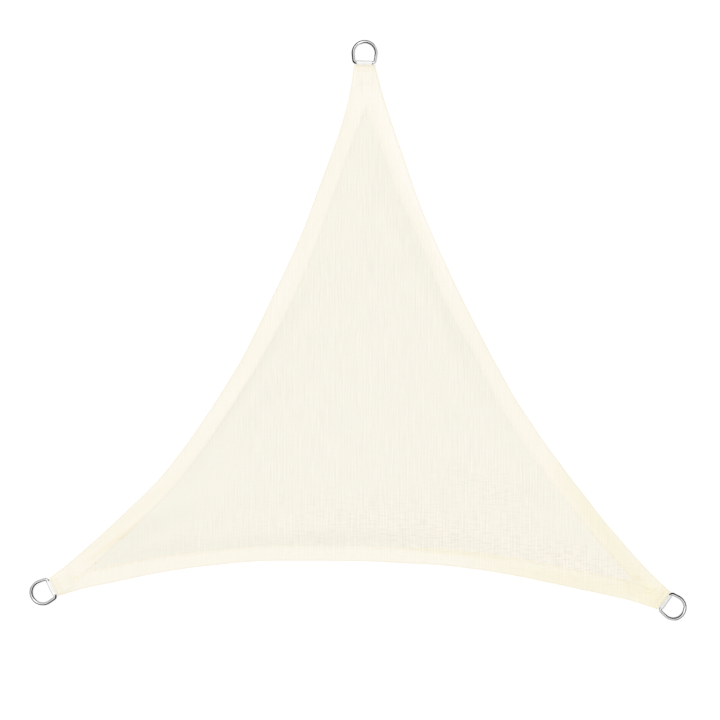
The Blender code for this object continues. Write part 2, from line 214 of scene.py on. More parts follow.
# Where the ribs are fainter, or stronger below zero.
CALM_PATCHES = (
    Stroke(-620, -620, -300, -250, 120, 0.7),
    Stroke(-700, -640, -380, -480, 80, 0.4),
    Stroke(-420, -330, -250, 10, 50, 0.5),
    Stroke(-860, -700, -450, -630, 60, 0.5),
    Stroke(-930, -790, -450, -380, 50, 0.9),
    Stroke(-980, -810, -250, -680, 45, 0.9),
    Stroke(150, 20, 330, -330, 70, 0.5),
    Stroke(30, 560, 150, 330, 40, 0.25),
    Stroke(80, 470, 170, 200, 55, -0.35),
    Stroke(260, -330, 560, -560, 110, -0.3),
)

# Narrow yellow-brown lines and spots: painted shade in creases, and thread that shows along the seams.
OCHRE_LINES = (
    Stroke(830, -745, 860, -750, 4, 0.45),
    Stroke(836, -753, 868, -757, 3.5, 0.35),
    Stroke(860, -778, 886, -787, 4, 0.5),
    Stroke(858, -790, 892, -799, 3.5, 0.35),
    Stroke(880, -800, 905, -780, 3.5, 0.3),
    Stroke(806, -752, 828, -780, 4, 0.25),
    Stroke(-818, -723, -833, -741, 3, 0.38),
    Stroke(-830, -736, -837, -756, 3, 0.34),
    Stroke(-847, -744, -847, -766, 2.6, 0.3),
    Stroke(-868, -752, -846, -748, 4, 0.25),
    Stroke(-803, -706, -787, -704, 4.5, 0.4),
    Stroke(-845, -722, -640, -562, 13, 0.24),
    Stroke(-735, -640, -690, -612, 4, 0.2),
    Stroke(11, 790, 11, 665, 3, 0.18),
    Stroke(-918, -804, -800, -776, 3, 0.35),
)

# How stained the hem's inner edge is, as a share at each of the hem's stations.
SEAM_STAINS = (
    (0.12, 0.1, 0.08, 0.05, 0.05, 0.06, 0.05, 0.05, 0.06, 0.1, 0.1, 0.1),
    (0.1, 0.06, 0.04, 0.04, 0.05, 0.05, 0.05, 0.04, 0.3, 0.4, 0.35, 0.25),
    (0.3, 0.32, 0.3, 0.14, 0.06, 0.1, 0.16, 0.22, 0.28, 0.32, 0.32, 0.26),
)

# The cloth near a corner. Distances are from the axis of the ring's bar, into the cloth.
CLOTH_FROM_BAR = 7.5 * MM
CORNER_SETTLES = 95.0 * MM
SETTLED_MIDDLE = 1.3 * MM


def direction(degrees):
    """The unit vector in plan at an angle from +X."""
    return np.array((math.cos(math.radians(degrees)), math.sin(math.radians(degrees))))


def across(degrees):
    """The unit vector a quarter turn to the left of a direction."""
    return direction(degrees + 90)


def smooth_through(places, values, at):
    """The natural cubic spline through some values, at each of some places."""
    x, y = np.array(places), np.array(values, float)
    step = np.diff(x)
    slope = np.diff(y) / step
    bend = np.zeros(len(x))
    next_one = np.diag(step[1:-1], 1)
    system = np.diag(2 * (step[:-1] + step[1:])) + next_one + next_one.T
    bend[1:-1] = np.linalg.solve(system, 6 * np.diff(slope))
    i = np.clip(np.searchsorted(x, at, side="right") - 1, 0, len(step) - 1)
    t = at - x[i]
    start_slope = slope[i] - step[i] * (2 * bend[i] + bend[i + 1]) / 6
    growth = (bend[i + 1] - bend[i]) / (6 * step[i])
    return y[i] + t * (start_slope + t * (bend[i] / 2 + t * growth))


def corner_places():
    """The middle of each cut end, by name."""
    opening = math.acos((LEFT_SIDE**2 + BASE_SIDE**2 - RIGHT_SIDE**2) / (2 * LEFT_SIDE * BASE_SIDE))
    places = {
        "left": np.zeros(2),
        "top": LEFT_SIDE * direction(BASE_TILT + math.degrees(opening)),
        "right": BASE_SIDE * direction(BASE_TILT),
    }
    crowns = []
    for corner in CORNERS:
        bar = places[corner.name] + CLOTH_FROM_BAR * direction(corner.end_faces)
        crowns.append(bar + CROWN_FROM_BAR * direction(corner.ring_points))
    middle = (np.min(crowns, axis=0) + np.max(crowns, axis=0)) / 2
    return {name: place - middle for name, place in places.items()}


PLACES = corner_places()


def end_corner(corner, hand):
    """One corner of a cut end: hand +1 is where a clockwise walk arrives, -1 where it leaves."""
    return PLACES[corner.name] + hand * corner.end_width / 2 * across(corner.end_faces)


def bar_place(corner):
    """The middle of the ring's bar, in plan."""
    return PLACES[corner.name] + CLOTH_FROM_BAR * direction(corner.end_faces)


def edge_line(edge, steps):
    """Points along one edge of the cloth, from cut end to cut end."""
    start = end_corner(CORNER_NAMED[edge.start], -1)
    run = end_corner(CORNER_NAMED[edge.finish], 1) - start
    inward = np.array((run[1], -run[0])) / np.hypot(*run)
    shares = np.linspace(0, 1, steps + 1)
    drawn_in = smooth_through(STATIONS, edge.drawn_in_mm, shares) * MM
    return start + np.outer(shares, run) + np.outer(drawn_in, inward)


def inward_normals(line):
    """At each point of a line walked clockwise, the unit vector into the cloth."""
    along = np.gradient(line, axis=0)
    inward = np.stack((along[:, 1], -along[:, 0]), 1)
    return inward / np.linalg.norm(inward, axis=1)[:, None]


def reached(line):
    """How far along a line each of its points is."""
    return np.concatenate(((0,), np.cumsum(np.linalg.norm(np.diff(line, axis=0), axis=1))))


def beside(points, line):
    """How far along a line some points are, and how far they are to its right."""
    nearest = np.empty(len(points), int)
    for first in range(0, len(points), AT_ONCE):
        away = points[first : first + AT_ONCE, None] - line[None]
        nearest[first : first + AT_ONCE] = (away**2).sum(2).argmin(1)
    run = np.diff(line, axis=0)
    long = np.linalg.norm(run, axis=1)
    ahead = run / long[:, None]
    starts = reached(line)
    along, off = np.zeros(len(points)), np.full(len(points), np.inf)
    for back in (1, 0):
        k = np.clip(nearest - back, 0, len(run) - 1)
        away = points - line[k]
        place = (away * ahead[k]).sum(1)
        low = np.where(k == 0, -np.inf, 0)
        high = np.where(k == len(run) - 1, np.inf, long[k])
        place = np.clip(place, low, high)
        rest = away - place[:, None] * ahead[k]
        right = rest[:, 0] * ahead[k, 1] - rest[:, 1] * ahead[k, 0]
        signed = np.copysign(np.linalg.norm(rest, axis=1), right)
        closer = np.abs(signed) < np.abs(off)
        along = np.where(closer, starts[k] + place, along)
        off = np.where(closer, signed, off)
    return along, off


def in_corner(points, corner):
    """Distances into the cloth from the bar's axis, and distances off the strap's middle."""
    away = points - bar_place(corner)
    return -away @ direction(corner.ring_points), away @ across(corner.ring_points)


def nearest_bar(points):
    """Distances into the cloth from the nearest bar's axis."""
    return np.min([in_corner(points, corner)[0] for corner in CORNERS], axis=0)


def from_end(points, corner):
    """Distances into the cloth from a cut end."""
    return -(points - PLACES[corner.name]) @ direction(corner.end_faces)


def cut_end(corner, pitch):
    """Points along a cut end, clockwise."""
    shares = np.linspace(0, 1, round(corner.end_width / pitch) + 1)[:, None]
    return (1 - shares) * end_corner(corner, 1) + shares * end_corner(corner, -1)


# ---------------------------------------------------------------------------------------------------------
# Sizes and colours
# ---------------------------------------------------------------------------------------------------------


def linear(code):
    """The linear colour of an sRGB hex value."""
    parts = [int(code[i : i + 2], 16) / 255 for i in (1, 3, 5)]
    return tuple(p / 12.92 if p <= 0.04045 else ((p + 0.055) / 1.055) ** 2.4 for p in parts)


def length(name, description, millimetres):
    """A length that a user may change."""
    settings = {"min": 0, "unit": "LENGTH", "precision": 5}
    return FloatProperty(name=name, description=description, default=millimetres * MM, **settings)


def colour(name, description, code):
    """A colour that a user may change."""
    settings = {"subtype": "COLOR", "min": 0, "max": 1}
    return FloatVectorProperty(name=name, description=description, default=linear(code), **settings)


class SailSizes(bpy.types.PropertyGroup):
    """Sizes of the cloth and the seams, and how finely the pieces are drawn."""

    ply: length("Cloth", "Thickness of one layer of the cloth", 0.55)
    hem_rise: length("Hem rise", "How much the turned hem adds to the cloth's thickness", 0.5)
    turned_edge: length("Turned edge", "Width of the hem's raw edge, turned under", 9.5)
    turned_rise: length("Turned rise", "How much the edge turned under adds", 0.2)
    seam_inset: length("Seam inset", "Distance of the hem's stitches from its inner edge", 5.0)
    stitch_pitch: length("Stitch pitch", "From one stitch to the next", 3.6)
    stitch_length: length("Stitch length", "Length of the thread that shows of a stitch", 2.8)
    thread_width: length("Thread", "Thickness of the sewing thread", 0.6)
    hem_pitch: length("Hem mesh", "Spacing of the mesh along the hems", 3.6)
    panel_pitch: length("Panel mesh", "Spacing of the mesh inside the panel", 7.2)
    corner_pitch: length("Corner mesh", "Spacing of the mesh at the corners", 2.1)
    wire_sides: IntProperty(
        name="Wire sides", description="Sides that a ring's round wire is drawn with", default=32, min=8
    )


class SailColours(bpy.types.PropertyGroup):
    """Colours of the cloth, thread, webbing, steel and floor."""

    panel: colour("Panel", "One layer of the cloth", "#E0DDD2")
    hem: colour("Hem", "The cloth where it lies double", "#E4E0D5")
    warm: colour("Warm", "The hem where it has yellowed", "#E1DCC8")
    pale: colour("Pale", "The hem where it is paler", "#E7E3DB")
    # Painted shade, laid where the cloth looks greyer.
    shaded: colour("Shaded", "The cloth where it looks greyer", "#D9D7CB")
    rosy: colour("Rosy", "The cloth low down, where its threads show most", "#E1DCD1")
    # The yellow-brown is painted shade in creases and on the cut ends' rims, and a stain along the seams.
    ochre_stain_and_shade: colour("Ochre", "Stained creases and rims", "#DCCB9E")
    thread: colour("Thread", "Sewing thread", "#DDD6C3")
    webbing: colour("Webbing", "Straps at the corners", "#E7E7E5")
    steel: colour("Steel", "Rings", "#CFCFCE")
    floor: colour("Floor", "Floor", "#8E8E8E")


# ---------------------------------------------------------------------------------------------------------
# Helpers for meshes, nodes and pieces
# ---------------------------------------------------------------------------------------------------------


def new_piece(name, mesh):
    """An object for a finished mesh, which lies where its points are."""
    made = bpy.data.objects.new(name, mesh)
    bpy.context.scene.collection.objects.link(made)
    return made


def mesh_of(name, points, faces, edges=()):
    """A mesh of points and faces, shaded smooth."""
    mesh = bpy.data.meshes.new(name)
    mesh.from_pydata([tuple(p) for p in points], list(edges), [tuple(f) for f in faces])
    if faces:
        mesh.shade_smooth()
    return mesh


def turn_outward(mesh):
    """Turn a closed mesh's faces outward."""
    bm = bmesh.new()
    bm.from_mesh(mesh)
    bmesh.ops.recalc_face_normals(bm, faces=bm.faces)
    if bm.calc_volume(signed=True) < 0:
        bmesh.ops.reverse_faces(bm, faces=bm.faces)
    bm.to_mesh(mesh)
    bm.free()


def set_values(mesh, name, values):
    """Give a mesh a named value at each of its points."""
    made = mesh.attributes.new(name, "FLOAT", "POINT")
    made.data.foreach_set("value", values.astype(np.float32))


def finish_piece(piece, node=None):
    """Seat a finished piece on the body, and let it stand for a CAD node that it lies in the place of."""
    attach(piece, BODY)
    if node:
        places = np.array([point.co for point in piece.data.vertices])
        for own, packed in zip((places.min(0), places.max(0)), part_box(node)):
            if np.abs(own - np.array(packed)).max() > FURTHEST_OFF:
                raise RuntimeError(f"{piece.name} does not lie where {node} does")
        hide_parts(node)


def fill(tree, node, inputs):
    """Give a node's inputs values, sockets or other nodes' first outputs."""
    for key, value in inputs.items():
        if isinstance(value, bpy.types.Node):
            value = value.outputs[0]
        if isinstance(value, bpy.types.NodeSocket):
            tree.links.new(value, node.inputs[key])
        else:
            node.inputs[key].default_value = value


def add_node(tree, kind, inputs=None, **settings):
    """Add a node with its settings, values and links."""
    made = tree.nodes.new(kind)
    for key, value in settings.items():
        setattr(made, key, value)
    fill(tree, made, inputs or {})
    return made


def new_material(name, inputs=None):
    """A material with a Principled shader and its values: the material, its tree and the shader."""
    made = bpy.data.materials.new(name)
    made.use_nodes = True
    shader = made.node_tree.nodes["Principled BSDF"]
    fill(made.node_tree, shader, inputs or {})
    return made, made.node_tree, shader


def new_geometry_tree(name, sizes):
    """A Geometry Nodes tree with one mesh in, one mesh out and some named inputs."""
    tree = bpy.data.node_groups.new(name, "GeometryNodeTree")
    tree.interface.new_socket("Geometry", in_out="INPUT", socket_type="NodeSocketGeometry")
    for label, kind in sizes:
        tree.interface.new_socket(label, in_out="INPUT", socket_type=kind)
    tree.interface.new_socket("Geometry", in_out="OUTPUT", socket_type="NodeSocketGeometry")
    return tree, add_node(tree, "NodeGroupInput").outputs


def closed_tree(tree, geometry, material):
    """The tree, with its geometry made real, smooth and in its material."""
    real = add_node(tree, "GeometryNodeRealizeInstances", {"Geometry": geometry})
    smooth = add_node(tree, "GeometryNodeSetShadeSmooth", {0: real})
    dressed = add_node(tree, "GeometryNodeSetMaterial", {"Geometry": smooth, "Material": material})
    add_node(tree, "NodeGroupOutput", {"Geometry": dressed})
    return tree


def grown(name, mesh, tree, values):
    """The plain mesh object that a Geometry Nodes tree makes of a mesh."""
    guide = new_piece(name + "_guide", mesh)
    modifier = guide.modifiers.new(name, "NODES")
    modifier.node_group = tree
    for item in tree.interface.items_tree:
        if item.item_type == "SOCKET" and item.in_out == "INPUT" and item.name in values:
            modifier[item.identifier] = values[item.name]
    bpy.context.view_layer.update()
    evaluated = guide.evaluated_get(bpy.context.evaluated_depsgraph_get())
    result = bpy.data.meshes.new_from_object(evaluated)
    result.name = name
    bpy.data.objects.remove(guide)
    if not result.polygons:
        raise RuntimeError(f"{name} came out empty")
    return new_piece(name, result)


# ---------------------------------------------------------------------------------------------------------
# The cloth
# ---------------------------------------------------------------------------------------------------------

# Rows of the mesh: at the outer fold, over the hem between the corners, and on both sides of the hem's inner
# edge, where the way into the panel counts above zero.
FOLD_ROWS_MM = (0.12, 0.4, 0.9, 1.7)
HEM_ROWS_MM = (3.2, 6, 10, 15, 21, 28, 36)
SEAM_ROWS_MM = (-12, -10, -8.6, -6.6, -5.6, -5, -4.4, -3.2, -1.8, -0.8, -0.35, -0.1, 0.1, 1.2, 3, 6, 10, 15)

# How far the rows stay from each other, and the distance below which two points are one.
ROW_MARGIN = 1.6 * MM
TOO_CLOSE = 0.05 * MM
LOOP_CLEAR = 0.4 * MM
SAME_POINT = 0.01 * MM

# The steps in which an edge is measured before it is drawn.
ROUGH_STEPS = 64

# How far the loose points of the mesh stay from its rows, and how coarse the underside is, in pitches.
GRID_CLEAR = 0.5
PANEL_CLEAR = 0.6
UNDER_CORNERS, UNDER_PANEL = 2, 3

# The roundness of the outer fold, of the hem's inner edge and of the straps' pockets, and how far in the
# outer row of stitches is.
FOLD_RADIUS = 1.0 * MM
HEM_SHOULDER = 1.0 * MM
POCKET_ROUND = 3.2 * MM
POCKET_STEPS = 16
OUTER_SEAM = 3.4 * MM

# The step where the raw edge ends under the hem, and the rise where one hem lies over another.
RAW_STEP = (-2.2 * MM, 0.6 * MM)
OVERLAP_SHARE = 0.15
OVERLAP_STEP = (-2 * MM, 18 * MM)

# The cloth over a strap: how far past the strap's tail and sides it comes down, and the room it leaves.
PAST_TAIL = (1 * MM, 18 * MM)
PAST_SIDE = 7 * MM
STRAP_ROOM = 0.9 * MM

# The gathers along the stitches, and the grooves that the stitches pull.
GATHER_LENGTHS = (7.5 * MM, 35 * MM)
GATHER_SLANT = 0.5
GATHER_HEIGHT = 0.36 * MM
GATHER_REACH = 30 * MM
GATHER_IN_HEM = 13 * MM
GATHER_IN_PANEL = 9 * MM
GATHER_SEED = 7.0
SEAM_GROOVE = 0.1 * MM
OUTER_GROOVE = 0.08 * MM
GROOVE_HALF = 0.9 * MM

# The loose unevenness of the cloth on the floor, and how far from a ring's bar it begins.
LIFT_STARTS = 60 * MM
BILLOW_LENGTHS = (65 * MM, 110 * MM)
BILLOW_HEIGHT = 0.9 * MM
BILLOW_SEED = 3.1

# The yellow-brown, as shares. On the outer fold it is strongest where each edge starts, and it fades
# between the last two of some distances along the edge.
RIM_AT_START = (0.10, 0.20, 0.09)
RIM_FURTHER_ON = 0.05
RIM_FADES = (0.0, 0.15, 0.4)
RIM_MIDDLE, RIM_HALF = 1 * MM, 2 * MM

# At a cut end it is painted shade on the rim, and a tint that fades into the cloth at shares of the
# corner's own depth.
END_RIM = (1 * MM, 5 * MM)
TINT_FADES = (0.6, 1.2)

# On the hem's inner edge it comes in dashes, and it ends where another hem lies over it.
SEAM_STAIN_MIDDLE, SEAM_STAIN_HALF = 0.6 * MM, 2.2 * MM
UNDER_ANOTHER = (-8 * MM, 0)
FAINTEST = 0.01
DASH_LENGTH = 14 * MM
DASH_MIDDLE, DASH_SWING, DASH_MOST = 0.75, 1.3, 2
DASH_SEED = 21.0

# How much stronger the ribs are where the threads show most, and how weak and strong they get.
MORE_RIBBED = 0.2
RIBBED_WITHIN = (0.15, 2)

# The rows of stitches across each corner: how far in from the cut end, and half the width of a zigzag.
CORNER_SEAMS = {
    "left": ((6, 0), (19, 0)),
    "top": ((5, 0), (18, 0)),
    "right": ((4, 1.4), (13, 1.4)),
}

# Half the length of a corner's rows, in strap widths, and the part of an edge's points that its outer row
# runs over.
CORNER_SEAM_HALF = 0.48
SEAM_ENDS = slice(2, -2)


def shoulder(depth, radius):
    """A rounded edge: 0 at the edge, and 1 from a radius in."""
    share = np.clip(depth / radius, 0, 1)
    return np.sqrt(1 - (1 - share) ** 2)


def ease(value, low, high):
    """A smooth rise from 0 to 1 between two values."""
    share = np.clip((value - low) / (high - low), 0, 1)
    return share * share * (3 - 2 * share)


def bell(away, half_width):
    """A smooth hump that is 1 in the middle and falls away on both sides."""
    return np.exp(-((away / half_width) ** 2))


def ridges(points, table):
    """The sum of a table's soft ridges and troughs at some points."""
    height = np.zeros(len(points))
    for s in table:
        start, end = np.array((s.x0, s.y0)) * MM, np.array((s.x1, s.y1)) * MM
        run = end - start
        share = (points - start) @ run / (run @ run)
        off = np.linalg.norm(points - start - np.outer(share, run), axis=1)
        off = np.minimum(off / (s.half_width * MM), 1)
        within = (share > 0) & (share < 1)
        height += within * s.height * MM * np.sin(math.pi * np.clip(share, 0, 1)) * (1 - off**2) ** 2
    return height


def patches(points, table):
    """The sum of a table's soft patches at some points, as a share."""
    return ridges(points, table) / MM


def noise_at(columns, scales, seed):
    """Smooth noise of about -1 to 1 at places that are given by column, with a size for each column."""
    places = zip(*[column / scale for column, scale in zip(columns, scales)])
    rest = (0,) * (2 - len(columns))
    return np.array([noise.noise((*place, *rest, seed)) for place in places])


def middle_height(inward):
    """Height of the middle between a strap's two layers, which comes down to the hem's."""
    share = np.clip((inward - STRAP_MEETS) / (CORNER_SETTLES - STRAP_MEETS), 0, 1)
    return SETTLED_MIDDLE + (BAR_HEIGHT - SETTLED_MIDDLE) * (1 + np.cos(math.pi * share)) / 2


def tangent_angle():
    """Where on its loop the strap leaves the bar, from the way into the cloth."""
    reach = math.hypot(STRAP_MEETS, LAYER_OFFSET)
    return math.atan2(LAYER_OFFSET, STRAP_MEETS) + math.acos(LOOP_RADIUS / reach)


def layer_rise(inward):
    """How far a strap layer's middle is above the middle between the layers."""
    return LAYER_OFFSET + np.maximum(0, STRAP_MEETS - inward) / math.tan(tangent_angle())


def pocket_half(inward, sideways):
    """Half the height of the space for the strap between the layers of the cloth."""
    skew = np.where(inward < STRAP_MEETS, 1 / math.sin(tangent_angle()), 1)
    half = layer_rise(inward) + STRAP_THICKNESS / 2 * skew + FIT_GAP
    over = np.clip((np.abs(sideways) - STRAP_WIDTH / 2) / POCKET_ROUND, 0, 1)
    end = np.clip((inward - STRAP_TAIL) / POCKET_ROUND, 0, 1)
    return half * np.sqrt(np.clip(1 - over**2 - end**2, 0, 1))


class Cloth:
    """The cloth's plan, and its heights over any points in plan."""

    def __init__(self, sizes):
        self.sizes = sizes
        lengths = [reached(edge_line(edge, ROUGH_STEPS))[-1] for edge in EDGES]
        self.lines = [edge_line(edge, round(long / sizes.hem_pitch)) for edge, long in zip(EDGES, lengths)]

    def share(self, k, along):
        """Distances along an edge, as shares of its length."""
        return np.clip(along / reached(self.lines[k])[-1], 0, 1)

    def hem_width(self, k, along):
        """Width of an edge's hem at distances along it."""
        return smooth_through(HEM_STATIONS, HEM_REACHES_MM[k], self.share(k, along)) * MM

    def measure(self, points):
        """For each edge, how far along and off it the points are, and how far inside its hem."""
        found = []
        for k, line in enumerate(self.lines):
            along, off = beside(points, line)
            found.append((along, off, self.hem_width(k, along) - off))
        return found

    def depths(self, points):
        """How far in from each side of the outline the points are, and how far inside the hems."""
        measures = self.measure(points)
        offs = [off for _, off, _ in measures] + [from_end(points, corner) for corner in CORNERS]
        return np.array(offs), np.max([inside for _, _, inside in measures], axis=0)

    def thickness(self, points, measures):
        """Thickness of the cloth with its hems, and over the straps."""
        sizes = self.sizes
        layers = []
        for _, _, inside in measures:
            turned = ease(inside, -HEM_SHOULDER, HEM_SHOULDER)
            raw = turned * (1 - ease(inside - sizes.turned_edge, *RAW_STEP))
            layers.append(sizes.hem_rise * turned + sizes.turned_rise * raw)
        total = sizes.ply + np.max(layers, axis=0)
        second = np.sort([inside for _, _, inside in measures], axis=0)[-2]
        total += OVERLAP_SHARE * sizes.hem_rise * ease(second, *OVERLAP_STEP)
        for corner in CORNERS:
            inward, sideways = in_corner(points, corner)
            pad = (1 - ease(inward - STRAP_TAIL, *PAST_TAIL)) * (inward < CORNER_SETTLES)
            pad *= 1 - ease(np.abs(sideways) - STRAP_WIDTH / 2, 0, PAST_SIDE)
            over_strap = 2 * layer_rise(inward) + STRAP_THICKNESS + 2 * sizes.ply + STRAP_ROOM
            total += np.maximum(over_strap - total, 0) * pad
        return total

    def relief(self, points, measures):
        """Small unevenness of the upper face: creases, the seam's groove and the puckers beside it."""
        height = ridges(points, CREASES)
        for k, (along, off, inside) in enumerate(measures):
            from_seam = inside - self.sizes.seam_inset
            near = np.abs(from_seam) < GATHER_REACH
            gathers = np.zeros(len(points))
            places = (along[near] + GATHER_SLANT * from_seam[near], from_seam[near])
            gathers[near] = noise_at(places, GATHER_LENGTHS, GATHER_SEED + k)
            spread = np.where(from_seam > 0, GATHER_IN_HEM, GATHER_IN_PANEL)
            height += GATHER_HEIGHT * gathers * bell(from_seam, spread)
            height -= SEAM_GROOVE * bell(from_seam, GROOVE_HALF)
            height -= OUTER_GROOVE * bell(off - OUTER_SEAM, GROOVE_HALF)
        return height

    def lift(self, points):
        """How far the laid-out cloth stands off the floor."""
        wide = 0.5 + 0.5 * noise_at(points.T, BILLOW_LENGTHS, BILLOW_SEED)
        return ridges(points, SWELLS) + BILLOW_HEIGHT * np.clip(wide, 0, 1) ** 2

    def heights(self, points, measures=None):
        """Underside and top of the cloth."""
        measures = measures or self.measure(points)
        thick = self.thickness(points, measures)
        low = self.lift(points)
        for corner in CORNERS:
            inward, _ = in_corner(points, corner)
            settled = ease(inward, LIFT_STARTS, CORNER_SETTLES)
            lifted = np.maximum(middle_height(inward) - thick / 2, 0) * (1 - settled)
            low = np.where(inward < CORNER_SETTLES, low * settled + lifted, low)
        high = low + thick + self.relief(points, measures)
        fold = shoulder(np.min([off for _, off, _ in measures], axis=0), FOLD_RADIUS)
        middle = (low + high) / 2
        return middle - (middle - low) * fold, middle + (high - middle) * fold

    def ochre_stain_and_shade(self, points):
        """Share of yellow-brown: painted shade in creases and on the cut ends' rims, a tint on the outer
        fold's rims and near the cut ends, and a stain along the seams.
        """
        measures = self.measure(points)
        insides = np.array([inside for _, _, inside in measures])
        share = patches(points, OCHRE_LINES)
        for corner in CORNERS:
            depth = from_end(points, corner)
            # Painted shade along the cut edge, and a yellow-brown tint that fades in from it.
            rim = corner.rim_stain * (1 - ease(depth, *END_RIM))
            zone = corner.end_stain * (1 - ease(depth / corner.stain_depth, *TINT_FADES))
            share += np.maximum(rim, zone)
        for k, (along, off, inside) in enumerate(measures):
            rim = np.interp(along, RIM_FADES, (RIM_AT_START[k], RIM_AT_START[k], RIM_FURTHER_ON))
            share += rim * bell(off - RIM_MIDDLE, RIM_HALF)
            under_another = ease(np.delete(insides, k, 0).max(0), *UNDER_ANOTHER)
            seam = np.interp(self.share(k, along), HEM_STATIONS, SEAM_STAINS[k]) * (1 - under_another)
            seam *= bell(inside - SEAM_STAIN_MIDDLE, SEAM_STAIN_HALF)
            near = seam > FAINTEST
            dashes = noise_at((along[near],), (DASH_LENGTH,), DASH_SEED + k)
            share[near] += seam[near] * np.clip(DASH_MIDDLE + DASH_SWING * dashes, 0, DASH_MOST)
        return share

    def pocket(self, corner, mouth):
        """The strap's pocket in a corner: rows of points on its roof and its floor, from the mouth in."""
        depth = np.linspace(0, 1, POCKET_STEPS + 1)[:, None, None]
        end = in_corner(mouth, corner)[0]
        run = (STRAP_TAIL + POCKET_ROUND - end)[:, None] * -direction(corner.ring_points)
        places = (mouth + depth * run).reshape(-1, 2)
        inward, sideways = in_corner(places, corner)
        half = pocket_half(inward, sideways)
        half[np.isclose(inward, STRAP_TAIL + POCKET_ROUND)] = 0
        low, high = self.heights(places)
        middle = (low + high) / 2
        shape = (POCKET_STEPS + 1, len(mouth), 3)
        roof = np.column_stack((places, middle + half)).reshape(shape)
        floor = np.column_stack((places, middle - half)).reshape(shape)
        return roof, floor

    def rows(self, offsets_mm):
        """Rows of points at fixed distances in from every side of the outline, and the edges along them."""
        sides = self.lines + [cut_end(corner, self.sizes.corner_pitch) for corner in CORNERS]
        rows = []
        for side, line in enumerate(sides):
            normals = inward_normals(line)
            for offset in offsets_mm:
                rows.append((line + offset * MM * normals, offset * MM, side))
        return rows

    def outline(self):
        """The closed outline, clockwise from the left corner, and which points are inside a cut end."""
        points, in_end = [], []
        for edge, line in zip(EDGES, self.lines):
            end = cut_end(CORNER_NAMED[edge.finish], self.sizes.corner_pitch)[1:-1]
            points += [line, end]
            in_end += [np.zeros(len(line), bool), np.ones(len(end), bool)]
        return np.concatenate(points), np.concatenate(in_end)

    def seam_loop(self, extra):
        """The closed loop inside the hems' inner edges, moved in by a distance and cut to its corners."""
        lines = []
        for k, line in enumerate(self.lines):
            width = self.hem_width(k, reached(line)) + extra
            lines.append(line + width[:, None] * inward_normals(line))
        loop = []
        for k, line in enumerate(lines):
            before, after = lines[k - 1], lines[(k + 1) % len(lines)]
            clear = (beside(line, before)[1] > LOOP_CLEAR) & (beside(line, after)[1] > LOOP_CLEAR)
            kept = np.flatnonzero(clear)
            loop.append(line[kept[0] : kept[-1] + 1])
            loop.append(crossing(line, after)[None])
        return np.concatenate(loop)


def crossing(line, after):
    """The point where a line meets the next one round."""
    off = beside(line, after)[1]
    i = np.flatnonzero((off[:-1] > 0) & (off[1:] <= 0))[-1]
    share = off[i] / (off[i] - off[i + 1])
    return line[i] + share * (line[i + 1] - line[i])


def hex_grid(low, high, pitch):
    """An even triangular grid over a rectangle."""
    rows = np.arange(low[1], high[1], pitch * math.sqrt(3) / 2)
    columns = np.arange(low[0], high[0], pitch)
    x = columns[None, :] + (np.arange(len(rows)) % 2 * pitch / 2)[:, None]
    y = np.broadcast_to(rows[:, None], x.shape)
    return np.stack((x.ravel(), y.ravel()), 1)


def layer_points(cloth, hem_rows, seam_rows, corner_pitch, panel_pitch):
    """Points in plan that draw one face of the cloth, and the edges that have to be kept."""
    outline, in_end = cloth.outline()
    points, edges = [outline], []
    count = len(outline)
    fold = FOLD_ROWS_MM[-1] * MM
    seams_reach = -min(seam_rows) * MM if seam_rows else 0
    for row, offset, side in cloth.rows(FOLD_ROWS_MM + hem_rows):
        offs, inside = cloth.depths(row)
        keep = np.delete(offs, side, 0).min(0) > offset + TOO_CLOSE
        if offset > fold:
            settled = nearest_bar(row) > CORNER_SETTLES + corner_pitch
            keep &= settled & (inside > seams_reach + ROW_MARGIN) & (side < len(EDGES))
        numbers = np.cumsum(keep) - 1 + count
        joined = keep[:-1] & keep[1:]
        edges += zip(numbers[:-1][joined], numbers[1:][joined])
        points.append(row[keep])
        count += keep.sum()
    for extra in seam_rows:
        loop = cloth.seam_loop(extra * MM)
        edges += [(count + i, count + (i + 1) % len(loop)) for i in range(len(loop))]
        points.append(loop)
        count += len(loop)

    low, high = outline.min(0), outline.max(0)
    grid = hex_grid(low, high, panel_pitch)
    offs, inside = cloth.depths(grid)
    if seam_rows:
        keep = inside < -(max(seam_rows) * MM + PANEL_CLEAR * panel_pitch)
    else:
        clear = GRID_CLEAR * panel_pitch
        keep = (offs.min(0) > fold + clear) & (nearest_bar(grid) > CORNER_SETTLES + clear)
    points.append(grid[keep])

    grid = hex_grid(low, high, corner_pitch)
    grid = grid[nearest_bar(grid) < CORNER_SETTLES]
    offs, inside = cloth.depths(grid)
    clear = GRID_CLEAR * corner_pitch
    points.append(grid[(offs.min(0) > fold + clear) & (inside > seams_reach + clear)])
    return np.concatenate(points), edges, in_end


def triangulated(points, edges, outline_count):
    """The triangles of points inside their outline: places, corners and each outline point's new number."""
    flat = [Vector(p) for p in points]
    kept = [(int(a), int(b)) for a, b in edges]
    ring = list(range(outline_count))
    only_within = 1
    made = delaunay_2d_cdt(flat, kept, [ring], only_within, SAME_POINT)
    places, _, faces, origins, _, _ = made
    renumbered = {}
    for new, old in enumerate(origins):
        for number in old:
            if number < outline_count:
                renumbered[number] = new
    return np.array([(p.x, p.y) for p in places]), faces, renumbered


def upward(points, faces, up):
    """The faces, turned to face up or down."""
    turned = []
    for a, b, c in faces:
        (ax, ay), (bx, by), (cx, cy) = points[a], points[b], points[c]
        faces_up = (bx - ax) * (cy - ay) - (by - ay) * (cx - ax) > 0
        turned.append((a, b, c) if faces_up == up else (a, c, b))
    return turned


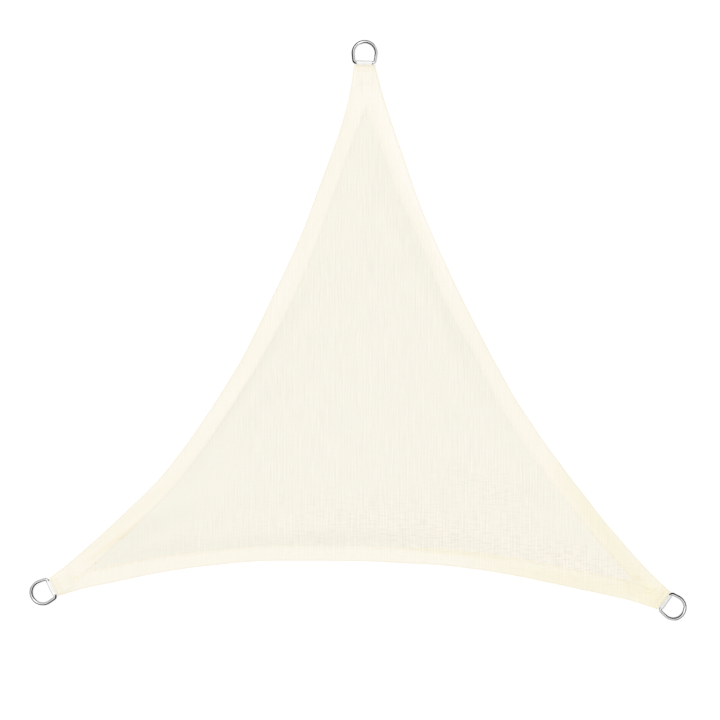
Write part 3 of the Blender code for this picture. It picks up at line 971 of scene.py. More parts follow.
def walls_and_pockets(cloth, in_end, outline, tops, lows, first):
    """The cut ends, each with a pocket for its strap: points, and faces that number them from the first."""
    points, faces = [], []
    starts = np.flatnonzero(in_end & ~np.roll(in_end, 1))
    for edge, start in zip(EDGES, starts):
        corner = CORNER_NAMED[edge.finish]
        stop = start + np.argmin(np.append(in_end[start:], False))
        end = np.arange(start - 1, stop + 1) % len(in_end)
        sideways = np.abs(in_corner(outline[end], corner)[1])
        open_part = np.flatnonzero(sideways < STRAP_WIDTH / 2 + POCKET_ROUND)
        a, z = open_part[0], open_part[-1]
        roof, floor = cloth.pocket(corner, outline[end[a : z + 1]])
        rows, columns = roof.shape[:2]

        # The roof and the floor share their points at the pocket's sides and at its blind end.
        numbers = np.empty((2, rows, columns), int)
        for r in range(rows):
            for c in range(columns):
                shared = c in (0, columns - 1) or r == rows - 1
                for layer, part in enumerate((roof, floor)):
                    if layer and shared:
                        numbers[1, r, c] = numbers[0, r, c]
                        continue
                    place = (roof[r, c] + floor[r, c]) / 2 if shared else part[r, c]
                    numbers[layer, r, c] = first + len(points)
                    points.append(place)
        for r in range(rows - 1):
            for c in range(columns - 1):
                for layer in (0, 1):
                    n = numbers[layer]
                    face = (n[r, c], n[r, c + 1], n[r + 1, c + 1], n[r + 1, c])
                    faces.append(face[::-1] if layer else face)

        # The wall of the cut end is whole beside the pocket's mouth, and above and below it.
        for i in range(len(end) - 1):
            high = [tops[end[i]], tops[end[i + 1]]]
            low = [lows[end[i + 1]], lows[end[i]]]
            c = i - a
            if c < -1 or c >= columns:
                faces.append((*high, *low))
            elif c == -1:
                faces.append((*high, numbers[0, 0, 0], *low))
            elif c == columns - 1:
                faces.append((*high, *low, numbers[0, 0, c]))
            else:
                faces.append((*high, numbers[0, 0, c + 1], numbers[0, 0, c]))
                faces.append((numbers[1, 0, c], numbers[1, 0, c + 1], *low))
    return points, [tuple(dict.fromkeys(face)) for face in faces]


def shades(cloth, points):
    """What the cloth's material reads at some points, as shares by name."""
    _, inside = cloth.depths(points)
    coarse = patches(points, COARSE_PATCHES)
    ribbed = 1 + MORE_RIBBED * coarse - patches(points, CALM_PATCHES)
    return {
        "doubled": ease(inside, -HEM_SHOULDER, HEM_SHOULDER),
        "warmth": patches(points, WARM_PATCHES),
        "pale": patches(points, PALE_PATCHES),
        "shade": patches(points, SHADED_PATCHES),
        "coarse": coarse,
        "ribbed": np.clip(ribbed, *RIBBED_WITHIN),
        "ochre_stain_and_shade": cloth.ochre_stain_and_shade(points),
    }


def cloth_mesh(cloth):
    """The whole cloth as one closed sheet, its hems folded over and a pocket at each corner."""
    sizes = cloth.sizes
    pitches = np.array((sizes.corner_pitch, sizes.panel_pitch))
    points, edges, in_end = layer_points(cloth, HEM_ROWS_MM, SEAM_ROWS_MM, *pitches)
    outline = points[: len(in_end)]
    top, top_faces, top_outline = triangulated(points, edges, len(in_end))
    points, edges, _ = layer_points(cloth, (), (), *(pitches * (UNDER_CORNERS, UNDER_PANEL)))
    under, under_faces, under_outline = triangulated(points, edges, len(in_end))

    measures = cloth.measure(top)
    _, high = cloth.heights(top, measures)
    low, _ = cloth.heights(under)
    number = np.arange(len(under)) + len(top)
    for i in np.flatnonzero(~in_end):
        number[under_outline[i]] = top_outline[i]
    faces = upward(top, top_faces, True)
    faces += [tuple(number[i] for i in face) for face in upward(under, under_faces, False)]
    tops = [top_outline[i] for i in range(len(in_end))]
    lows = [number[under_outline[i]] for i in range(len(in_end))]
    count = len(top) + len(under)
    inner, inner_faces = walls_and_pockets(cloth, in_end, outline, tops, lows, count)
    faces += inner_faces
    places = np.concatenate((np.column_stack((top, high)), np.column_stack((under, low)), np.array(inner)))
    used = np.zeros(len(places), bool)
    used[np.concatenate([np.array(face) for face in faces])] = True
    renumber = np.cumsum(used) - 1
    mesh = mesh_of("sail_cloth", places[used], [[int(renumber[i]) for i in face] for face in faces])
    for name, values in shades(cloth, places[used][:, :2]).items():
        set_values(mesh, name, values)
    return mesh


class SAIL_OT_cloth(bpy.types.Operator):
    """Make the cloth with its turned hems and the pockets for the straps"""

    bl_idname = "sail.cloth"
    bl_label = "Sail Cloth"

    def execute(self, context):
        cloth = Cloth(context.scene.sail_sizes)
        piece = new_piece("sail_cloth_sheet", cloth_mesh(cloth))
        piece.data.materials.append(shade_cloth(context.scene.sail_colours))
        finish_piece(piece, "sail_cloth")
        return {"FINISHED"}


# ---------------------------------------------------------------------------------------------------------
# The stitches
# ---------------------------------------------------------------------------------------------------------


def stitch_line(points, pitch, closed):
    """A line in plan with its points a fixed distance apart."""
    line = np.concatenate((points, points[:1])) if closed else points
    along = reached(line)
    places = np.linspace(0, along[-1], max(2, round(along[-1] / pitch)) + 1)
    return np.column_stack([np.interp(places, along, line[:, i]) for i in (0, 1)])


def zigzag(line, half_width):
    """A line in plan whose points go from side to side."""
    side = inward_normals(line) * half_width
    return line + side * (-1.0) ** np.arange(len(line))[:, None]


def stitch_rows(cloth):
    """All the rows of stitches in plan: two along each hem and some across each corner."""
    sizes = cloth.sizes
    pitch = sizes.stitch_pitch
    rows = [stitch_line(cloth.seam_loop(-sizes.seam_inset), pitch, True)]
    for line in cloth.lines:
        outer = (line + OUTER_SEAM * inward_normals(line))[SEAM_ENDS]
        rows.append(stitch_line(outer, pitch, False))
    for corner in CORNERS:
        across_end = across(corner.end_faces) * STRAP_WIDTH * CORNER_SEAM_HALF
        for depth, half_width in CORNER_SEAMS[corner.name]:
            middle = PLACES[corner.name] - depth * MM * direction(corner.end_faces)
            line = np.array([middle - across_end, middle + across_end])
            step = pitch if half_width == 0 else pitch / 2
            row = stitch_line(line, step, False)
            rows.append(zigzag(row, half_width * MM) if half_width else row)
    return rows


def stitches_tree():
    """Nodes that lay a stitch of thread along every edge of a mesh."""
    sizes = (
        ("Length", "NodeSocketFloat"),
        ("Thread", "NodeSocketFloat"),
        ("Material", "NodeSocketMaterial"),
    )
    tree, inputs = new_geometry_tree("stitches", sizes)
    half_thread, half_length = (
        add_node(tree, "ShaderNodeMath", {0: inputs[name], 1: 0.5}, operation="MULTIPLY")
        for name in ("Thread", "Length")
    )
    values = {"X": half_thread, "Y": half_thread, "Z": half_length}
    size = add_node(tree, "ShaderNodeCombineXYZ", values)
    ball = add_node(tree, "GeometryNodeMeshUVSphere", {"Segments": 6, "Rings": 5, "Radius": 1.0})
    ends = add_node(tree, "GeometryNodeInputMeshEdgeVertices").outputs
    values = {0: ends["Position 2"], 1: ends["Position 1"]}
    run = add_node(tree, "ShaderNodeVectorMath", values, operation="SUBTRACT")
    kept = add_node(tree, "GeometryNodeCaptureAttribute", {"Geometry": inputs["Geometry"]}, domain="EDGE")
    kept.capture_items.new("VECTOR", "Run")
    fill(tree, kept, {"Run": run})
    turned = add_node(tree, "FunctionNodeAlignRotationToVector", {"Vector": kept.outputs["Run"]}, axis="Z")
    places = add_node(tree, "GeometryNodeMeshToPoints", {"Mesh": kept}, mode="EDGES")
    values = {"Points": places, "Instance": ball, "Rotation": turned, "Scale": size}
    laid = add_node(tree, "GeometryNodeInstanceOnPoints", values)
    return closed_tree(tree, laid, inputs["Material"])


class SAIL_OT_stitches(bpy.types.Operator):
    """Sew the hems and the corners"""

    bl_idname = "sail.stitches"
    bl_label = "Stitches"

    def execute(self, context):
        sizes = context.scene.sail_sizes
        cloth = Cloth(sizes)
        points, edges = [], []
        for row in stitch_rows(cloth):
            high = cloth.heights(row)[1]
            edges += [(len(points) + i, len(points) + i + 1) for i in range(len(row) - 1)]
            points += list(np.column_stack((row, high)))
        guide = mesh_of("stitch_rows", points, (), edges)
        thread = sewing_thread(context.scene.sail_colours)
        values = {"Length": sizes.stitch_length, "Thread": sizes.thread_width, "Material": thread}
        piece = grown("hem_stitches", guide, stitches_tree(), values)
        finish_piece(piece)
        return {"FINISHED"}


# ---------------------------------------------------------------------------------------------------------
# The straps and rings
# ---------------------------------------------------------------------------------------------------------

# How finely the straps and the rings are drawn. The angles round a strap's edge are in radians.
LOOP_STEPS = 48
TAIL_STEPS = 30
FLAT_STEPS = 24
EDGE_ARC = np.radians(np.linspace(-90, 90, 7))
CROWN_STEPS = 120
BEND_STEPS = 16
BAR_STEPS = 10


def at_corner(corner, x, y, z):
    """Points given by a distance towards the crown, one across and one up from the bar, set in place."""
    flat = np.outer(x, direction(corner.ring_points)) + np.outer(y, across(corner.ring_points))
    return np.column_stack((flat + bar_place(corner), z + BAR_HEIGHT))


def strap_middle():
    """Middle line of a strap from tail to tail: x towards the crown, z up from the bar's axis."""
    inward = np.linspace(STRAP_TAIL, STRAP_MEETS, TAIL_STEPS + 1)
    middle, apart = middle_height(inward) - BAR_HEIGHT, layer_rise(inward)
    upper, lower = (np.column_stack((-inward, middle + hand * apart)) for hand in (1, -1))
    leaves = tangent_angle()
    angles = np.linspace(leaves, 2 * math.pi - leaves, LOOP_STEPS + 1)
    loop = LOOP_RADIUS * np.column_stack((-np.cos(angles), np.sin(angles)))
    return np.concatenate((upper, loop, lower[::-1]))


def strap_section():
    """A strap's cross-section with round edges: how far its points are across and up from the middle."""
    half, flat_half = STRAP_THICKNESS / 2, (STRAP_WIDTH - STRAP_THICKNESS) / 2
    flats = np.linspace(-flat_half, flat_half, FLAT_STEPS + 1)[1:-1]
    high = np.full(len(flats), half)
    round_width, round_rise = flat_half + half * np.cos(EDGE_ARC), half * np.sin(EDGE_ARC)
    width = np.concatenate((round_width, -flats, -round_width, flats))
    return width, np.concatenate((round_rise, high, -round_rise, -high))


def strap_mesh(corner):
    """A strap of flat webbing with round edges, and its lengths along and across as a UV map."""
    middle = strap_middle()
    along = np.gradient(middle, axis=0)
    along /= np.linalg.norm(along, axis=1)[:, None]
    outward = np.column_stack((-along[:, 1], along[:, 0]))
    width, rise = strap_section()
    points = []
    for centre, out in zip(middle, outward):
        x, z = centre[0] + rise * out[0], centre[1] + rise * out[1]
        points.append(at_corner(corner, x, width, z))
    n, rows = len(width), len(middle)
    faces = []
    for first in range(0, n * (rows - 1), n):
        for j in range(n):
            a, b = first + j, first + (j + 1) % n
            faces.append((a, b, b + n, a + n))
    faces += [range(n)[::-1], range(n * (rows - 1), n * rows)]
    mesh = mesh_of("strap_" + corner.name, np.concatenate(points), faces)
    around = np.concatenate([np.array(face) for face in faces])
    lengths = np.column_stack((reached(middle)[around // n], width[around % n]))
    mesh.uv_layers.new(name="weave").data.foreach_set("uv", lengths.astype(np.float32).ravel())
    # Painted shade: a strap whose tone is below 1 is darkened all over, as if it stood in shade.
    set_values(mesh, "tone", np.full(len(mesh.vertices), corner.strap_tone))
    return mesh


class SAIL_OT_straps(bpy.types.Operator):
    """Make the webbing straps that hold the rings"""

    bl_idname = "sail.straps"
    bl_label = "Corner Straps"

    def execute(self, context):
        made = webbing(context.scene.sail_colours)
        for corner in CORNERS:
            mesh = strap_mesh(corner)
            turn_outward(mesh)
            mesh.materials.append(made)
            finish_piece(new_piece("webbing_strap_" + corner.name, mesh), "strap_" + corner.name)
        return {"FINISHED"}


def arc(middle, radius, start, finish, steps):
    """Points along an arc, whose angles are in radians."""
    angles = np.linspace(start, finish, steps + 1)
    return np.array(middle) + radius * np.column_stack((np.cos(angles), np.sin(angles)))


def ring_path():
    """Centre line of a ring: the bar at x = 0 and the crown towards +X."""
    lean = math.radians(SIDE_LEAN)
    side = math.pi / 2 + lean
    rise = CROWN_FROM_BAR - BEND_RADIUS
    half_bar = (CROWN_RADIUS - BEND_RADIUS - rise * math.sin(lean)) / math.cos(lean)
    crown = arc((CROWN_FROM_BAR, 0), CROWN_RADIUS, -side, side, CROWN_STEPS)
    bend = arc((BEND_RADIUS, half_bar), BEND_RADIUS, side, math.pi, BEND_STEPS)
    bar = half_bar * np.linspace((0, 1), (0, -1), BAR_STEPS + 1)[1:-1]
    return np.concatenate((crown, bend, bar, (bend * (1, -1))[::-1]))


def ring_tree():
    """Nodes that draw round wire along a closed line."""
    sizes = (("Radius", "NodeSocketFloat"), ("Sides", "NodeSocketInt"), ("Material", "NodeSocketMaterial"))
    tree, inputs = new_geometry_tree("round_wire", sizes)
    line = add_node(tree, "GeometryNodeMeshToCurve", {"Mesh": inputs["Geometry"]})
    values = {"Resolution": inputs["Sides"], "Radius": inputs["Radius"]}
    section = add_node(tree, "GeometryNodeCurvePrimitiveCircle", values)
    wire = add_node(tree, "GeometryNodeCurveToMesh", {"Curve": line, "Profile Curve": section})
    return closed_tree(tree, wire, inputs["Material"])


class SAIL_OT_rings(bpy.types.Operator):
    """Bend the D-shaped rings of round wire"""

    bl_idname = "sail.rings"
    bl_label = "Rings"

    def execute(self, context):
        steel = polished_steel(context.scene.sail_colours)
        tree = ring_tree()
        path = ring_path()
        tilt = math.asin((BAR_HEIGHT - WIRE_RADIUS) / (CROWN_FROM_BAR + CROWN_RADIUS))
        values = {"Radius": WIRE_RADIUS, "Sides": context.scene.sail_sizes.wire_sides, "Material": steel}
        for corner in CORNERS:
            x, z = path[:, 0] * math.cos(tilt), -path[:, 0] * math.sin(tilt)
            line = at_corner(corner, x, path[:, 1], z)
            edges = [(i, (i + 1) % len(line)) for i in range(len(line))]
            piece = grown("d_ring_" + corner.name, mesh_of("ring_line", line, (), edges), tree, values)
            turn_outward(piece.data)
            finish_piece(piece, "ring_" + corner.name)
        return {"FINISHED"}


# ---------------------------------------------------------------------------------------------------------
# Materials
# ---------------------------------------------------------------------------------------------------------

# The inputs and the output that a Mix node keeps for colours.
MIX_UNDER, MIX_OVER, MIX_RESULT = 6, 7, 2

# The Wave node's bands are this far apart at a scale of 1.
WAVE_AT_ONE = math.pi / 10


def opaque(tone):
    """A colour of three numbers as the four that a socket takes."""
    return (*tone, 1)


def layered(tree, base, *layers):
    """A colour with others laid over it in turn, each by the share that its socket gives."""
    for share, over in layers:
        values = {"Factor": share, MIX_UNDER: base, MIX_OVER: over}
        base = add_node(tree, "ShaderNodeMix", values, data_type="RGBA").outputs[MIX_RESULT]
    return base


def weighted(tree, *terms, plus=0.0):
    """The sum of a number and some products, each of two nodes, sockets or numbers."""
    total = plus
    for first, second in terms:
        values = {0: first, 1: second, 2: total}
        total = add_node(tree, "ShaderNodeMath", values, operation="MULTIPLY_ADD")
    return total


def uneven(tree, place, sizes, detail):
    """Smooth unevenness of about -0.5 to 0.5, with its size along each axis."""
    scale = [1 / size for size in sizes]
    sized = add_node(tree, "ShaderNodeMapping", {"Vector": place, "Scale": scale})
    made = add_node(tree, "ShaderNodeTexNoise", {"Vector": sized, "Scale": 1.0, "Detail": detail})
    return weighted(tree, (made.outputs["Fac"], 1.0), plus=-0.5)


def bands(tree, place, axis, pitch, wander):
    """Soft bands across an axis, a pitch apart, from -0.5 to 0.5."""
    values = {"Vector": place, "Scale": WAVE_AT_ONE / pitch, "Distortion": wander}
    values |= {"Detail": 1.0, "Detail Scale": 0.6}
    made = add_node(tree, "ShaderNodeTexWave", values, bands_direction=axis)
    return weighted(tree, (made.outputs["Fac"], 1.0), plus=-0.5)


# The cloth's patterns. The real threads are finer than the picture shows, and what shows is their moire. So
# the ribs are drawn as wide as they look: fine streaks, even ribs, and wide ribs that wander more. A size is
# given across the ribs, along them and through the cloth.
STREAK_SIZE = (4.167 * MM, 76.9 * MM, 1.0)
RIB_PITCH, RIB_WANDER = 9.3 * MM, 0.8
WIDE_PITCH, WIDE_WANDER = 16.2 * MM, 1.5
STREAK_PART = 0.72
RIB_PART, RIB_PART_COARSE = 0.32, 0.15
WIDE_PART = 0.14

# The even and wide ribs show in patches, and all the threads sway a little.
SHOWING_SIZE = (16.67 * MM, 66.7 * MM, 1.0)
SHOWING_SWING, SHOWING_MIDDLE = 2.6, 0.45
SWAY_SIZE = 111.1 * MM
SWAY = 8 * MM

# Level threads, dark ones more than light ones, which show most where the cloth is coarse.
LEVEL_SIZE = (31.25 * MM, 4.348 * MM, 1.0)
LEVEL_WITHIN = {"Min": -0.22, "Max": 0.05}

# How much each pattern lightens and darkens one layer of the cloth, and how much less it shows where the
# cloth is doubled.
RIB_TONE = 0.15
LEVEL_TONE, LEVEL_TONE_COARSE = 0.032, 0.256
BLOTCH_TONE = 0.02
BLOTCH_SIZE = (71.4 * MM, 111 * MM, 1.0)
LESS_WHERE_DOUBLED = -0.45

# Flecks of colour, and how much a bright one adds to red, green and blue.
FLECK_SIZE = (6.667 * MM, 11.11 * MM, 1.0)
WIDE_FLECK_SIZE = (25 * MM, 38.5 * MM, 1.0)
WIDE_FLECK_PART, BLOTCH_PART = 0.4, 0.3
TINT = (0.045, -0.03, -0.005)

# The knit itself: its upright wales and its level courses, as relief.
WALE_PITCH, COURSE_PITCH, KNIT_WANDER = 2.6 * MM, 1.7 * MM, 1.2
WALE_RELIEF, COURSE_RELIEF, RIB_RELIEF = 0.5, 0.35, 1.6

# The webbing: its ribs across, its lines along, and the painted shade where its face turns down.
WEFT_PITCH, WARP_PITCH, WEAVE_WANDER = 1.5 * MM, 2.3 * MM, 0.4
WARP_RELIEF = 0.5
WEAVE_TONE, WEAVE_MIDDLE = 0.08, 0.98
PAINTED_SHADE_BY_FACING = {"From Min": 0.6, "From Max": 1.0, "To Min": 0.58, "To Max": 1.0}

# Fine marks in the steel's polish, which make it a little rougher or smoother.
MARK_SIZE = (1.111 * MM,) * 3
MARK_SWING, STEEL_ROUGHNESS = 0.06, 0.08

# What the floor, the cards and the lights are made of.
WHITE, BLACK, CARD_BLACK = (opaque(linear(code)) for code in ("#FFFFFF", "#000000", "#1A1A1A"))
MATT = {"Roughness": 1.0, "Specular IOR Level": 0.0}


def shade_cloth(colours):
    """Knitted ivory cloth, matt: fine upright ribs in short streaks, and level threads low down."""
    made, tree, shader = new_material("knitted_shade_cloth", {"Roughness": 0.85, "Specular IOR Level": 0.2})
    place = add_node(tree, "ShaderNodeTexCoord").outputs["Object"]
    doubled, warmth, pale, shade, coarse, ribbed, ochre_stain_and_shade = (
        add_node(tree, "ShaderNodeAttribute", attribute_name=name).outputs["Fac"]
        for name in ("doubled", "warmth", "pale", "shade", "coarse", "ribbed", "ochre_stain_and_shade")
    )
    tones = {name: opaque(getattr(colours, name)) for name in SailColours.__annotations__}
    hem = layered(tree, tones["hem"], (warmth, tones["warm"]), (pale, tones["pale"]))
    # Painted shade: the shaded colour is laid over the panel where the cloth looks greyer.
    panel = layered(tree, tones["panel"], (coarse, tones["rosy"]), (shade, tones["shaded"]))
    # The yellow-brown laid on top is painted shade in creases and on cut-end rims, and a stain along the
    # seams.
    base = layered(tree, panel, (doubled, hem), (ochre_stain_and_shade, tones["ochre_stain_and_shade"]))

    sway = add_node(tree, "ShaderNodeTexNoise", {"Vector": place, "Scale": 1 / SWAY_SIZE, "Detail": 1.0})
    values = {0: sway.outputs["Color"], 1: (SWAY, SWAY, 0), 2: place}
    swayed = add_node(tree, "ShaderNodeVectorMath", values, operation="MULTIPLY_ADD")
    streaks = uneven(tree, swayed, STREAK_SIZE, 1.0)
    even = bands(tree, swayed, "X", RIB_PITCH, RIB_WANDER)
    wide = bands(tree, swayed, "X", WIDE_PITCH, WIDE_WANDER)
    in_patches = uneven(tree, place, SHOWING_SIZE, 1.0)
    showing = weighted(tree, (in_patches, SHOWING_SWING), plus=SHOWING_MIDDLE)
    even_part = weighted(tree, (showing, RIB_PART), (coarse, RIB_PART_COARSE))
    wide_part = weighted(tree, (showing, WIDE_PART))
    ribs = weighted(tree, (streaks, STREAK_PART), (even, even_part), (wide, wide_part))
    rib_tone = weighted(tree, (ribbed, RIB_TONE))
    values = {"Value": uneven(tree, swayed, LEVEL_SIZE, 0.0), **LEVEL_WITHIN}
    level = add_node(tree, "ShaderNodeClamp", values)
    level_tone = weighted(tree, (coarse, LEVEL_TONE_COARSE), plus=LEVEL_TONE)
    blotches = uneven(tree, place, BLOTCH_SIZE, 2.0)
    tone = weighted(tree, (ribs, rib_tone), (level, level_tone), (blotches, BLOTCH_TONE))
    fine_flecks = uneven(tree, place, FLECK_SIZE, 2.0)
    wide_flecks = uneven(tree, place, WIDE_FLECK_SIZE, 1.0)
    flecks = weighted(tree, (fine_flecks, 1.0), (wide_flecks, WIDE_FLECK_PART), (blotches, BLOTCH_PART))

    single = weighted(tree, (doubled, LESS_WHERE_DOUBLED), plus=1.0)
    gain = weighted(tree, (tone, single), plus=1.0)
    values = {0: weighted(tree, (flecks, single)), 1: TINT, 2: gain}
    gains = add_node(tree, "ShaderNodeVectorMath", values, operation="MULTIPLY_ADD")
    toned = add_node(tree, "ShaderNodeVectorMath", {0: base, 1: gains}, operation="MULTIPLY")
    wales = bands(tree, place, "X", WALE_PITCH, KNIT_WANDER)
    courses = bands(tree, place, "Y", COURSE_PITCH, KNIT_WANDER)
    relief = weighted(tree, (wales, WALE_RELIEF), (courses, COURSE_RELIEF), (ribs, RIB_RELIEF))
    bump = add_node(tree, "ShaderNodeBump", {"Height": relief, "Strength": 0.5, "Distance": 0.3 * MM})
    fill(tree, shader, {"Base Color": toned, "Normal": bump})
    return made


def webbing(colours):
    """Woven white webbing with fine ribs and a little sheen, with painted shade where it turns down to the
    ring.
    """
    made, tree, shader = new_material("white_webbing", {"Roughness": 0.6})
    place = add_node(tree, "ShaderNodeUVMap", uv_map="weave")
    ribs = bands(tree, place, "X", WEFT_PITCH, WEAVE_WANDER)
    lines = bands(tree, place, "Y", WARP_PITCH, WEAVE_WANDER)
    relief = weighted(tree, (ribs, 1.0), (lines, WARP_RELIEF))
    bump = add_node(tree, "ShaderNodeBump", {"Height": relief, "Strength": 0.6, "Distance": 0.25 * MM})
    # Painted shade: the webbing is darkened where its face turns from up towards the side.
    normal = add_node(tree, "ShaderNodeNewGeometry").outputs["Normal"]
    upward_part = add_node(tree, "ShaderNodeSeparateXYZ", {"Vector": normal}).outputs["Z"]
    values = {"Value": upward_part, **PAINTED_SHADE_BY_FACING}
    painted_turn_shade = add_node(tree, "ShaderNodeMapRange", values, interpolation_type="SMOOTHSTEP")
    # This tone darkens a whole strap as painted shade.
    tone = add_node(tree, "ShaderNodeAttribute", attribute_name="tone").outputs["Fac"]
    weave = weighted(tree, (relief, WEAVE_TONE), plus=WEAVE_MIDDLE)
    gain = weighted(tree, (weighted(tree, (tone, painted_turn_shade)), weave))
    values = {0: tuple(colours.webbing), "Scale": gain}
    toned = add_node(tree, "ShaderNodeVectorMath", values, operation="SCALE")
    fill(tree, shader, {"Base Color": toned, "Normal": bump})
    return made


def sewing_thread(colours):
    """Polyester sewing thread, cream, a little glossy."""
    return new_material("sewing_thread", {"Base Color": opaque(colours.thread), "Roughness": 0.5})[0]


def polished_steel(colours):
    """Bright polished steel wire: sharp reflections, with very fine marks that soften them unevenly."""
    values = {"Base Color": opaque(colours.steel), "Metallic": 1.0}
    made, tree, shader = new_material("polished_steel", values)
    place = add_node(tree, "ShaderNodeTexCoord").outputs["Object"]
    marks = uneven(tree, place, MARK_SIZE, 3.0)
    fill(tree, shader, {"Roughness": weighted(tree, (marks, MARK_SWING), plus=STEEL_ROUGHNESS)})
    return made


def matt_floor(colours):
    """Plain matt paper. It glows a little, so that it comes out as pale as a brightly lit one."""
    values = {"Base Color": opaque(colours.floor), "Emission Color": WHITE, "Emission Strength": FLOOR_GLOW}
    return new_material("matt_floor", {**values, **MATT})[0]


def black_card():
    """Black card beside a ring, which only the steel sees."""
    return new_material("black_card", {"Base Color": CARD_BLACK, **MATT})[0]


def glowing(name, strength):
    """A black face that glows evenly: a strip light or a lit white card, which only the steel sees."""
    values = {"Base Color": BLACK, "Emission Color": WHITE, "Emission Strength": strength}
    return new_material(name, values)[0]


# ---------------------------------------------------------------------------------------------------------
# The stage
# ---------------------------------------------------------------------------------------------------------

# The camera, which looks straight down.
CAMERA_PLACE = (0.006, -0.090, 5.155)
LENS_MM = 85
SENSOR_MM = 36
SEES_TO = 50

FLOOR_SIZE = 14.0
FLOOR_GLOW = 0.76

# The strength of the light all round, and what the steel sees instead from level to straight up.
SKY = 1.1
SKY_IN_STEEL = ((0.0, 0.06), (0.14, 0.10), (0.34, 0.68), (0.80, 0.80), (0.97, 0.50))

# The lamp that shades the cloth: its share of the light on level cloth, and how it stands.
SUN_SHARE = 0.15
SUN_TILT = 45.0
SUN_FROM = 147.0
SUN_SPREAD = 14.0

# The black cards round each ring. Turns are from the way that the ring points. A wall stands at one
# distance and has a height at each turn, one card lies outside the wire and one lies inside the eye.
CARD_AWAY = 0.25
WALL = (
    (15, 0.12), (30, 0.28), (60, 0.40), (80, 0.8), (100, 1.0),
    (145, 1.0), (165, 0.6), (185, 0.35), (205, 0.1),
)
FLOOR_CARD = range(-45, 216, 20)
EYE_CARD = range(-105, 36, 15)
EYE_CARD_STARTS = 1 * MM
CARD_LIFT = 0.1 * MM

# The lit white card on the other side of each ring.
WHITE_CARD = range(-150, -44, 15)
WHITE_CARD_HEIGHT = 0.12
WHITE_CARD_GLOW = 0.9

# The strip light over each ring.
STRIP_GLOW = 2.0
STRIP_TURN = 30.0
STRIP_HEIGHT = 0.6
STRIP_HALF = (0.45, 0.10)


def set_sky():
    """White all round, and in the steel's reflections darker towards the floor."""
    world = bpy.data.worlds.new("white_tent")
    bpy.context.scene.world = world
    world.use_nodes = True
    tree = world.node_tree
    background = tree.nodes["Background"]
    path = add_node(tree, "ShaderNodeLightPath").outputs["Is Glossy Ray"]
    place = add_node(tree, "ShaderNodeTexCoord").outputs["Generated"]
    up = add_node(tree, "ShaderNodeSeparateXYZ", {"Vector": place}).outputs["Z"]
    ramp = add_node(tree, "ShaderNodeValToRGB", {"Fac": up})
    elements = ramp.color_ramp.elements
    while len(elements) < len(SKY_IN_STEEL):
        elements.new(0.5)
    for element, (height, value) in zip(elements, SKY_IN_STEEL):
        element.position = height
        element.color = (value, value, value, 1)
    seen = layered(tree, opaque((SKY, SKY, SKY)), (path, ramp.outputs["Color"]))
    fill(tree, background, {"Color": seen})


def crown_middle(corner):
    """The middle of a ring's crown, in plan."""
    return bar_place(corner) + CROWN_FROM_BAR * direction(corner.ring_points)


def card_mesh(corner):
    """The black cards for one ring."""
    turns, heights = zip(*WALL)
    cards = [(turns, [(CARD_AWAY, 0)] * len(turns), [(CARD_AWAY, height) for height in heights])]
    for turns, low, high in (
        (FLOOR_CARD, CROWN_RADIUS + WIRE_RADIUS, CARD_AWAY),
        (EYE_CARD, EYE_CARD_STARTS, CROWN_RADIUS - WIRE_RADIUS),
    ):
        cards.append((turns, [(low, CARD_LIFT)] * len(turns), [(high, CARD_LIFT)] * len(turns)))
    return ring_cards(corner, cards)


def white_card_mesh(corner):
    """The white card for one ring, which stands on the side that the ring is lit from."""
    n = len(WHITE_CARD)
    return ring_cards(corner, [(WHITE_CARD, [(CARD_AWAY, 0)] * n, [(CARD_AWAY, WHITE_CARD_HEIGHT)] * n)])


def ring_cards(corner, cards):
    """Cards between pairs of lines round a ring, each line a distance and a height at every turn."""
    middle = crown_middle(corner)
    points, faces = [], []
    for turns, near, far in cards:
        first = len(points)
        for turn, *ends in zip(turns, near, far):
            out = direction(corner.ring_points + turn)
            points += [(*(middle + away * out), height) for away, height in ends]
        faces += [(k, k + 1, k + 3, k + 2) for k in range(first, len(points) - 2, 2)]
    return mesh_of("cards", points, faces)


def strip_mesh(corner):
    """The strip light over one ring."""
    along = STRIP_HALF[0] * direction(corner.ring_points + STRIP_TURN)
    aside = STRIP_HALF[1] * across(corner.ring_points + STRIP_TURN)
    places = [crown_middle(corner) + i * along + j * aside for i, j in ((-1, -1), (-1, 1), (1, 1), (1, -1))]
    return mesh_of("strip_light", [(*place, STRIP_HEIGHT) for place in places], [(0, 1, 2, 3)])


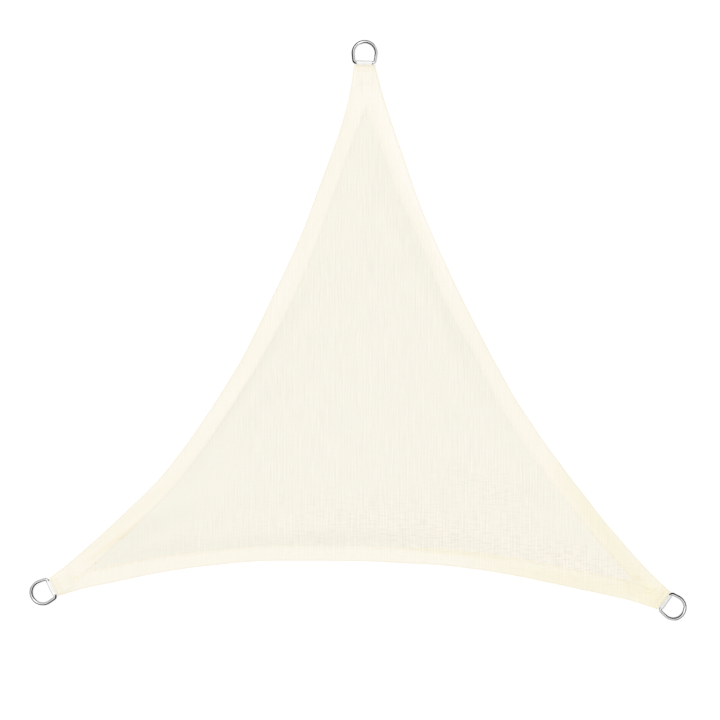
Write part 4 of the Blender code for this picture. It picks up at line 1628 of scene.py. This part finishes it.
class SAIL_OT_stage(bpy.types.Operator):
    """Set the floor, the lights, the black cards and the camera"""

    bl_idname = "sail.stage"
    bl_label = "Stage"

    def execute(self, context):
        half = FLOOR_SIZE / 2
        ground = [(-half, -half, 0), (half, -half, 0), (half, half, 0), (-half, half, 0)]
        floor = new_piece("floor", mesh_of("floor", ground, [(0, 1, 2, 3)]))
        floor.data.materials.append(matt_floor(context.scene.sail_colours))
        for name, mesh_for, material in (
            ("black_cards_", card_mesh, black_card()),
            ("white_card_", white_card_mesh, glowing("white_card", WHITE_CARD_GLOW)),
            ("strip_light_", strip_mesh, glowing("strip_light", STRIP_GLOW)),
        ):
            for corner in CORNERS:
                made = new_piece(name + corner.name, mesh_for(corner))
                made.data.materials.append(material)
                made.visible_camera = made.visible_diffuse = made.visible_shadow = False
                made.visible_transmission = False

        set_sky()
        sun = bpy.data.lights.new("key", "SUN")
        sun.angle = math.radians(SUN_SPREAD)
        sun.energy = SUN_SHARE * math.pi / math.cos(math.radians(SUN_TILT))
        key = new_piece("key", sun)
        key.visible_glossy = False
        key.rotation_euler = (math.radians(SUN_TILT), 0, math.radians(SUN_FROM + 90))

        lens = bpy.data.cameras.new("camera")
        lens.lens = LENS_MM
        lens.sensor_width = SENSOR_MM
        lens.clip_end = SEES_TO
        camera = new_piece("camera", lens)
        camera.location = CAMERA_PLACE
        context.scene.camera = camera
        context.scene.view_settings.view_transform = "Standard"
        return {"FINISHED"}


# ---------------------------------------------------------------------------------------------------------
# The panel, and the whole
# ---------------------------------------------------------------------------------------------------------


class SAIL_PT_panel(bpy.types.Panel):
    """Sizes, colours and steps of the shade sail"""

    bl_idname = "SAIL_PT_panel"
    bl_label = "Shade Sail"
    bl_space_type = "VIEW_3D"
    bl_region_type = "UI"
    bl_category = "Sail"

    def draw(self, context):
        for group in (context.scene.sail_sizes, context.scene.sail_colours):
            box = self.layout.box()
            for name in group.__annotations__:
                box.prop(group, name)
        for operator in OPERATORS:
            self.layout.operator(operator.bl_idname)


OPERATORS = (SAIL_OT_cloth, SAIL_OT_stitches, SAIL_OT_straps, SAIL_OT_rings, SAIL_OT_stage)
CLASSES = (SailSizes, SailColours, *OPERATORS, SAIL_PT_panel)


def register():
    """Give Blender the sizes, the colours, the steps and the panel."""
    for made in CLASSES:
        bpy.utils.register_class(made)
    bpy.types.Scene.sail_sizes = PointerProperty(type=SailSizes)
    bpy.types.Scene.sail_colours = PointerProperty(type=SailColours)


def unregister():
    """Take them away again."""
    del bpy.types.Scene.sail_colours
    del bpy.types.Scene.sail_sizes
    for made in reversed(CLASSES):
        bpy.utils.unregister_class(made)


def main():
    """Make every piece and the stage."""
    register()
    for operator in OPERATORS:
        prefix, name = operator.bl_idname.split(".")
        getattr(getattr(bpy.ops, prefix), name)()

    on_it = [bpy.data.objects["hem_stitches"]]
    on_it += [bpy.data.objects["webbing_strap_" + corner.name] for corner in CORNERS]
    on_it += [bpy.data.objects["d_ring_" + corner.name] for corner in CORNERS]


if __name__ == "__main__":
    main()
